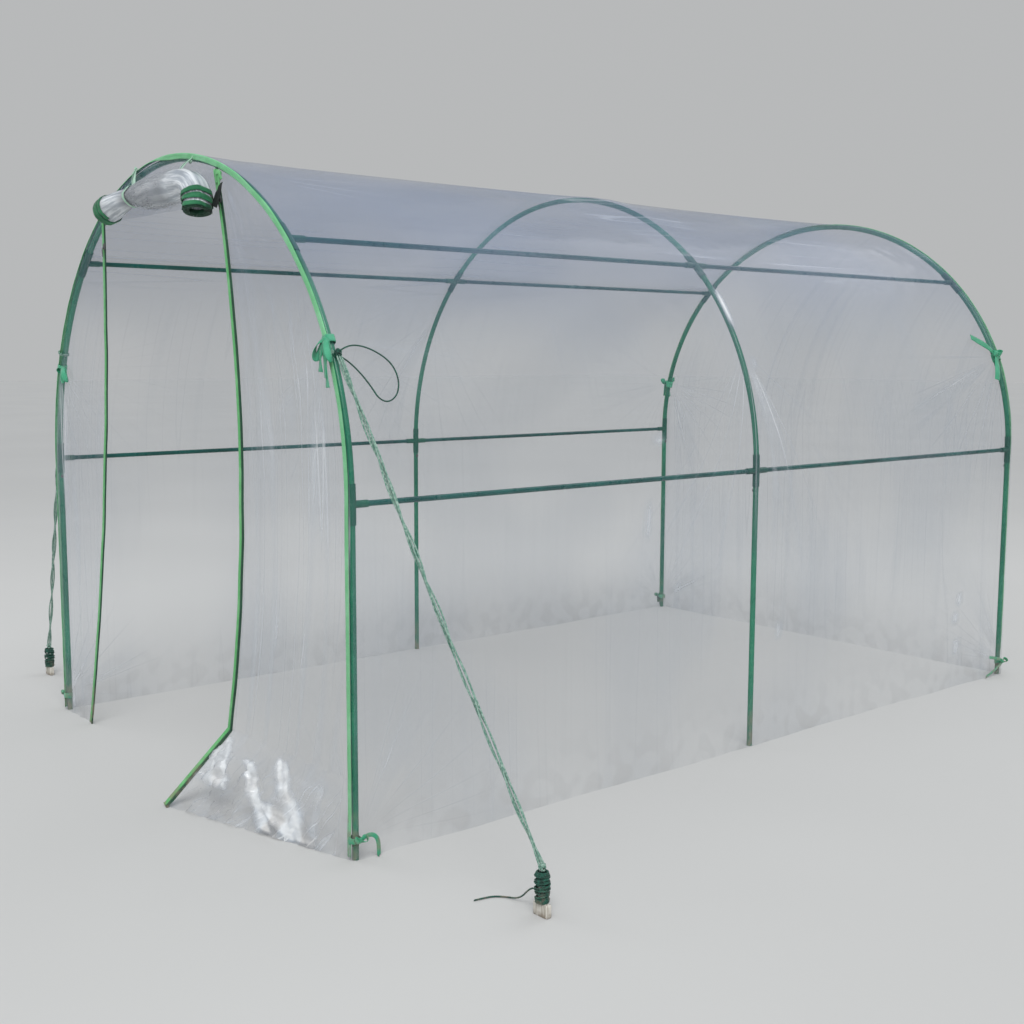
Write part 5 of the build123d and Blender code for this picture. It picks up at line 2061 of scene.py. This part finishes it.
def make_cords(shop: Workshop) -> None:
    """Builds the ropes, the stakes and the spare cords."""
    hoop, loop = SHAPE.hoops[0], []
    for behind, down in LOOP_ROUTE:
        run = SHAPE.arch_run(Side.RIGHT, 23) - down / 1000
        place = SHAPE.outline(np.array([run]), 0.0070)[0][0]
        loop.append((float(place[0]), hoop + behind / 1000, float(place[2])))
    tail = tuple((x / 1000, hoop + behind / 1000, z / 1000) for x, behind, z in TAIL_ROUTE)
    SpareCord("spare_loop", "spare_cord_loop", tuple(loop), 0.490, "object", "stiff").build(shop)
    SpareCord("spare_tail", "spare_cord_tail", tail, 0.219, "bare", "medium").build(shop)
    for side in Side:
        GuyRope(side).build(shop)
    stakes = show("stakes", [Stake(side).build(shop) for side in Side], STAKE_WOOD, flip=True)
    fit(stakes, "stake", "guy_stakes")


# Frame


def dress_frame(nodes: dict[str, bpy.types.Object]) -> None:
    """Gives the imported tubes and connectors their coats."""
    coats = {"connectors": CONNECTOR_COAT, "purlin": PURLIN_COAT, "leg": HOOP_COAT, "tube": HOOP_COAT}
    for name, node in nodes.items():
        coat = coats.get(name.rsplit("_", 1)[-1])
        if coat:
            node.data.materials.clear()
            node.data.materials.append(coat.material())


def make_bolts(shop: Workshop) -> None:
    """Sets a bolt in each leg, just below its sleeve."""
    reach, height = SHAPE.hoop_radius - SHAPE.tube_radius + 0.0004, SHAPE.leg_height - 0.068
    legs = [(side, y) for y in SHAPE.hoops for side in Side]
    points = bare_mesh("bolt.points", [(side * reach, y, height) for side, y in legs],
                       out=[-side * ACROSS for side, _ in legs], along=[UP for _ in legs])
    fit(shop.fasten.run("frame_bolts", points, ZINC, Item=shop.bolt), "connector_coat")


# Studio and camera


@dataclass(frozen=True)
class Studio:
    """Pale floor, soft lights, plain surroundings and the camera."""

    lamps: tuple[tuple[str, tuple[float, ...], tuple[float, float], float], ...] = (
        ("key", (4.5, -4.5, 5.0), (3.0, 3.0), 90.0), ("fill", (-5.0, -4.0, 3.5), (3.5, 3.0), 40.0),
        ("back", (0.5, 4.5, 6.0), (4.0, 4.0), 60.0))
    target: tuple[float, float, float] = (0.0, 0.0, 1.0)
    sun_way: tuple[float, float, float] = (-0.55, 0.35, -0.76)
    sun_power: float = 1.15
    sun_spread: float = 35.0
    backdrop: Colour = (0.478, 0.486, 0.490)
    daylight: Colour = (0.80, 0.83, 0.87)
    floor_reach: float = 60.0
    viewpoint: tuple[float, float, float] = (3.8896, -3.4630, 1.3640)
    lens: float = 46.31
    sensor: float = 36.0
    down: float = 0.119178
    heading: float = 0.868614
    roll: float = 0.0032507

    def build(self) -> None:
        """Makes all of it."""
        self.floor()
        self.world()
        self.lamp("broad", "SUN", Vector(self.sun_way), energy=self.sun_power,
                  angle=radians(self.sun_spread))
        for name, place, (wide, high), power in self.lamps:
            lamp = self.lamp(name, "AREA", Vector(self.target) - Vector(place), shape="RECTANGLE", size=wide,
                             size_y=high, energy=power)
            lamp.location = place
        self.camera()
        bpy.context.scene.view_settings.view_transform = "Standard"
        cycles = bpy.context.scene.cycles
        cycles.transparent_max_bounces = 40
        cycles.max_bounces, cycles.diffuse_bounces, cycles.glossy_bounces = 3, 1, 1

    def floor(self) -> None:
        """Makes the floor."""
        line = np.linspace(-self.floor_reach, self.floor_reach, 9)
        x, y = np.meshgrid(line, line, indexing="ij")
        show("studio_floor", [Patch(np.stack([x, y, np.zeros_like(x)], -1))], FLOOR)

    def world(self) -> None:
        """Makes the surroundings: one brightness to look at, one to light with."""
        world = bpy.data.worlds.new("studio")
        world.use_nodes = True
        world.node_tree.nodes.clear()
        board = NodeBoard(world.node_tree)
        paths = board.add("ShaderNodeLightPath").outputs
        seen = board.math("MAXIMUM", paths["Is Camera Ray"], paths["Is Transmission Ray"])
        height = board.parts(board.add("ShaderNodeTexCoord").outputs["Generated"])[2]
        light, look = (board.add("ShaderNodeBackground", {"Color": (*colour, 1.0), "Strength": strength})
                       for colour, strength in ((self.daylight, board.ramp(height, -0.1, 0.9, 0.34, 0.62)),
                                                (self.backdrop, 1.0)))
        mix = board.add("ShaderNodeMixShader", {0: seen, 1: light.outputs[0], 2: look.outputs[0]})
        board.add("ShaderNodeOutputWorld", {"Surface": mix.outputs[0]})
        bpy.context.scene.world = world

    @staticmethod
    def lamp(name: str, kind: str, way: Vector, **settings: Any) -> bpy.types.Object:
        """Makes one light that shines that way."""
        light = bpy.data.lights.new(name, kind)
        for setting, value in settings.items():
            setattr(light, setting, value)
        lamp = link(name, light)
        lamp.rotation_euler = way.to_track_quat("-Z", "Y").to_euler()
        return lamp

    def camera(self) -> None:
        """Sets up the camera at the viewing angle of the photograph."""
        view = bpy.data.cameras.new("camera")
        view.lens, view.sensor_width = self.lens, self.sensor
        camera = link("camera", view)
        camera.location = self.viewpoint
        aim = Euler((pi / 2 - self.down, 0.0, self.heading)).to_matrix()
        camera.rotation_euler = (aim @ Euler((0.0, 0.0, self.roll)).to_matrix()).to_euler()
        bpy.context.scene.camera = camera


def main() -> None:
    """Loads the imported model, dresses it and sets it in the studio."""
    logging.basicConfig(level=logging.INFO, format="%(message)s")
    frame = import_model()
    Studio().build()
    shop = Workshop()
    make_cords(shop)
    dress_frame(frame["nodes"])
    make_films()
    for end in TunnelEnd:
        HemTape(end).build(shop)
    DoorZip(Side.LEFT, LEFT_ZIP, (-0.0170, 0.0000), (0.0003, 0.0090)).build(shop)
    DoorZip(Side.RIGHT, RIGHT_ZIP, (-0.0145, 0.0000), (0.0003, 0.0125), (0.271, -1.7717, 0.0)).build(shop)
    roll = RolledDoor()
    roll.build()
    DoorRibbons(roll).build()
    make_ties()
    make_bolts(shop)
    shop.clear_away()


if __name__ == "__main__":
    main()
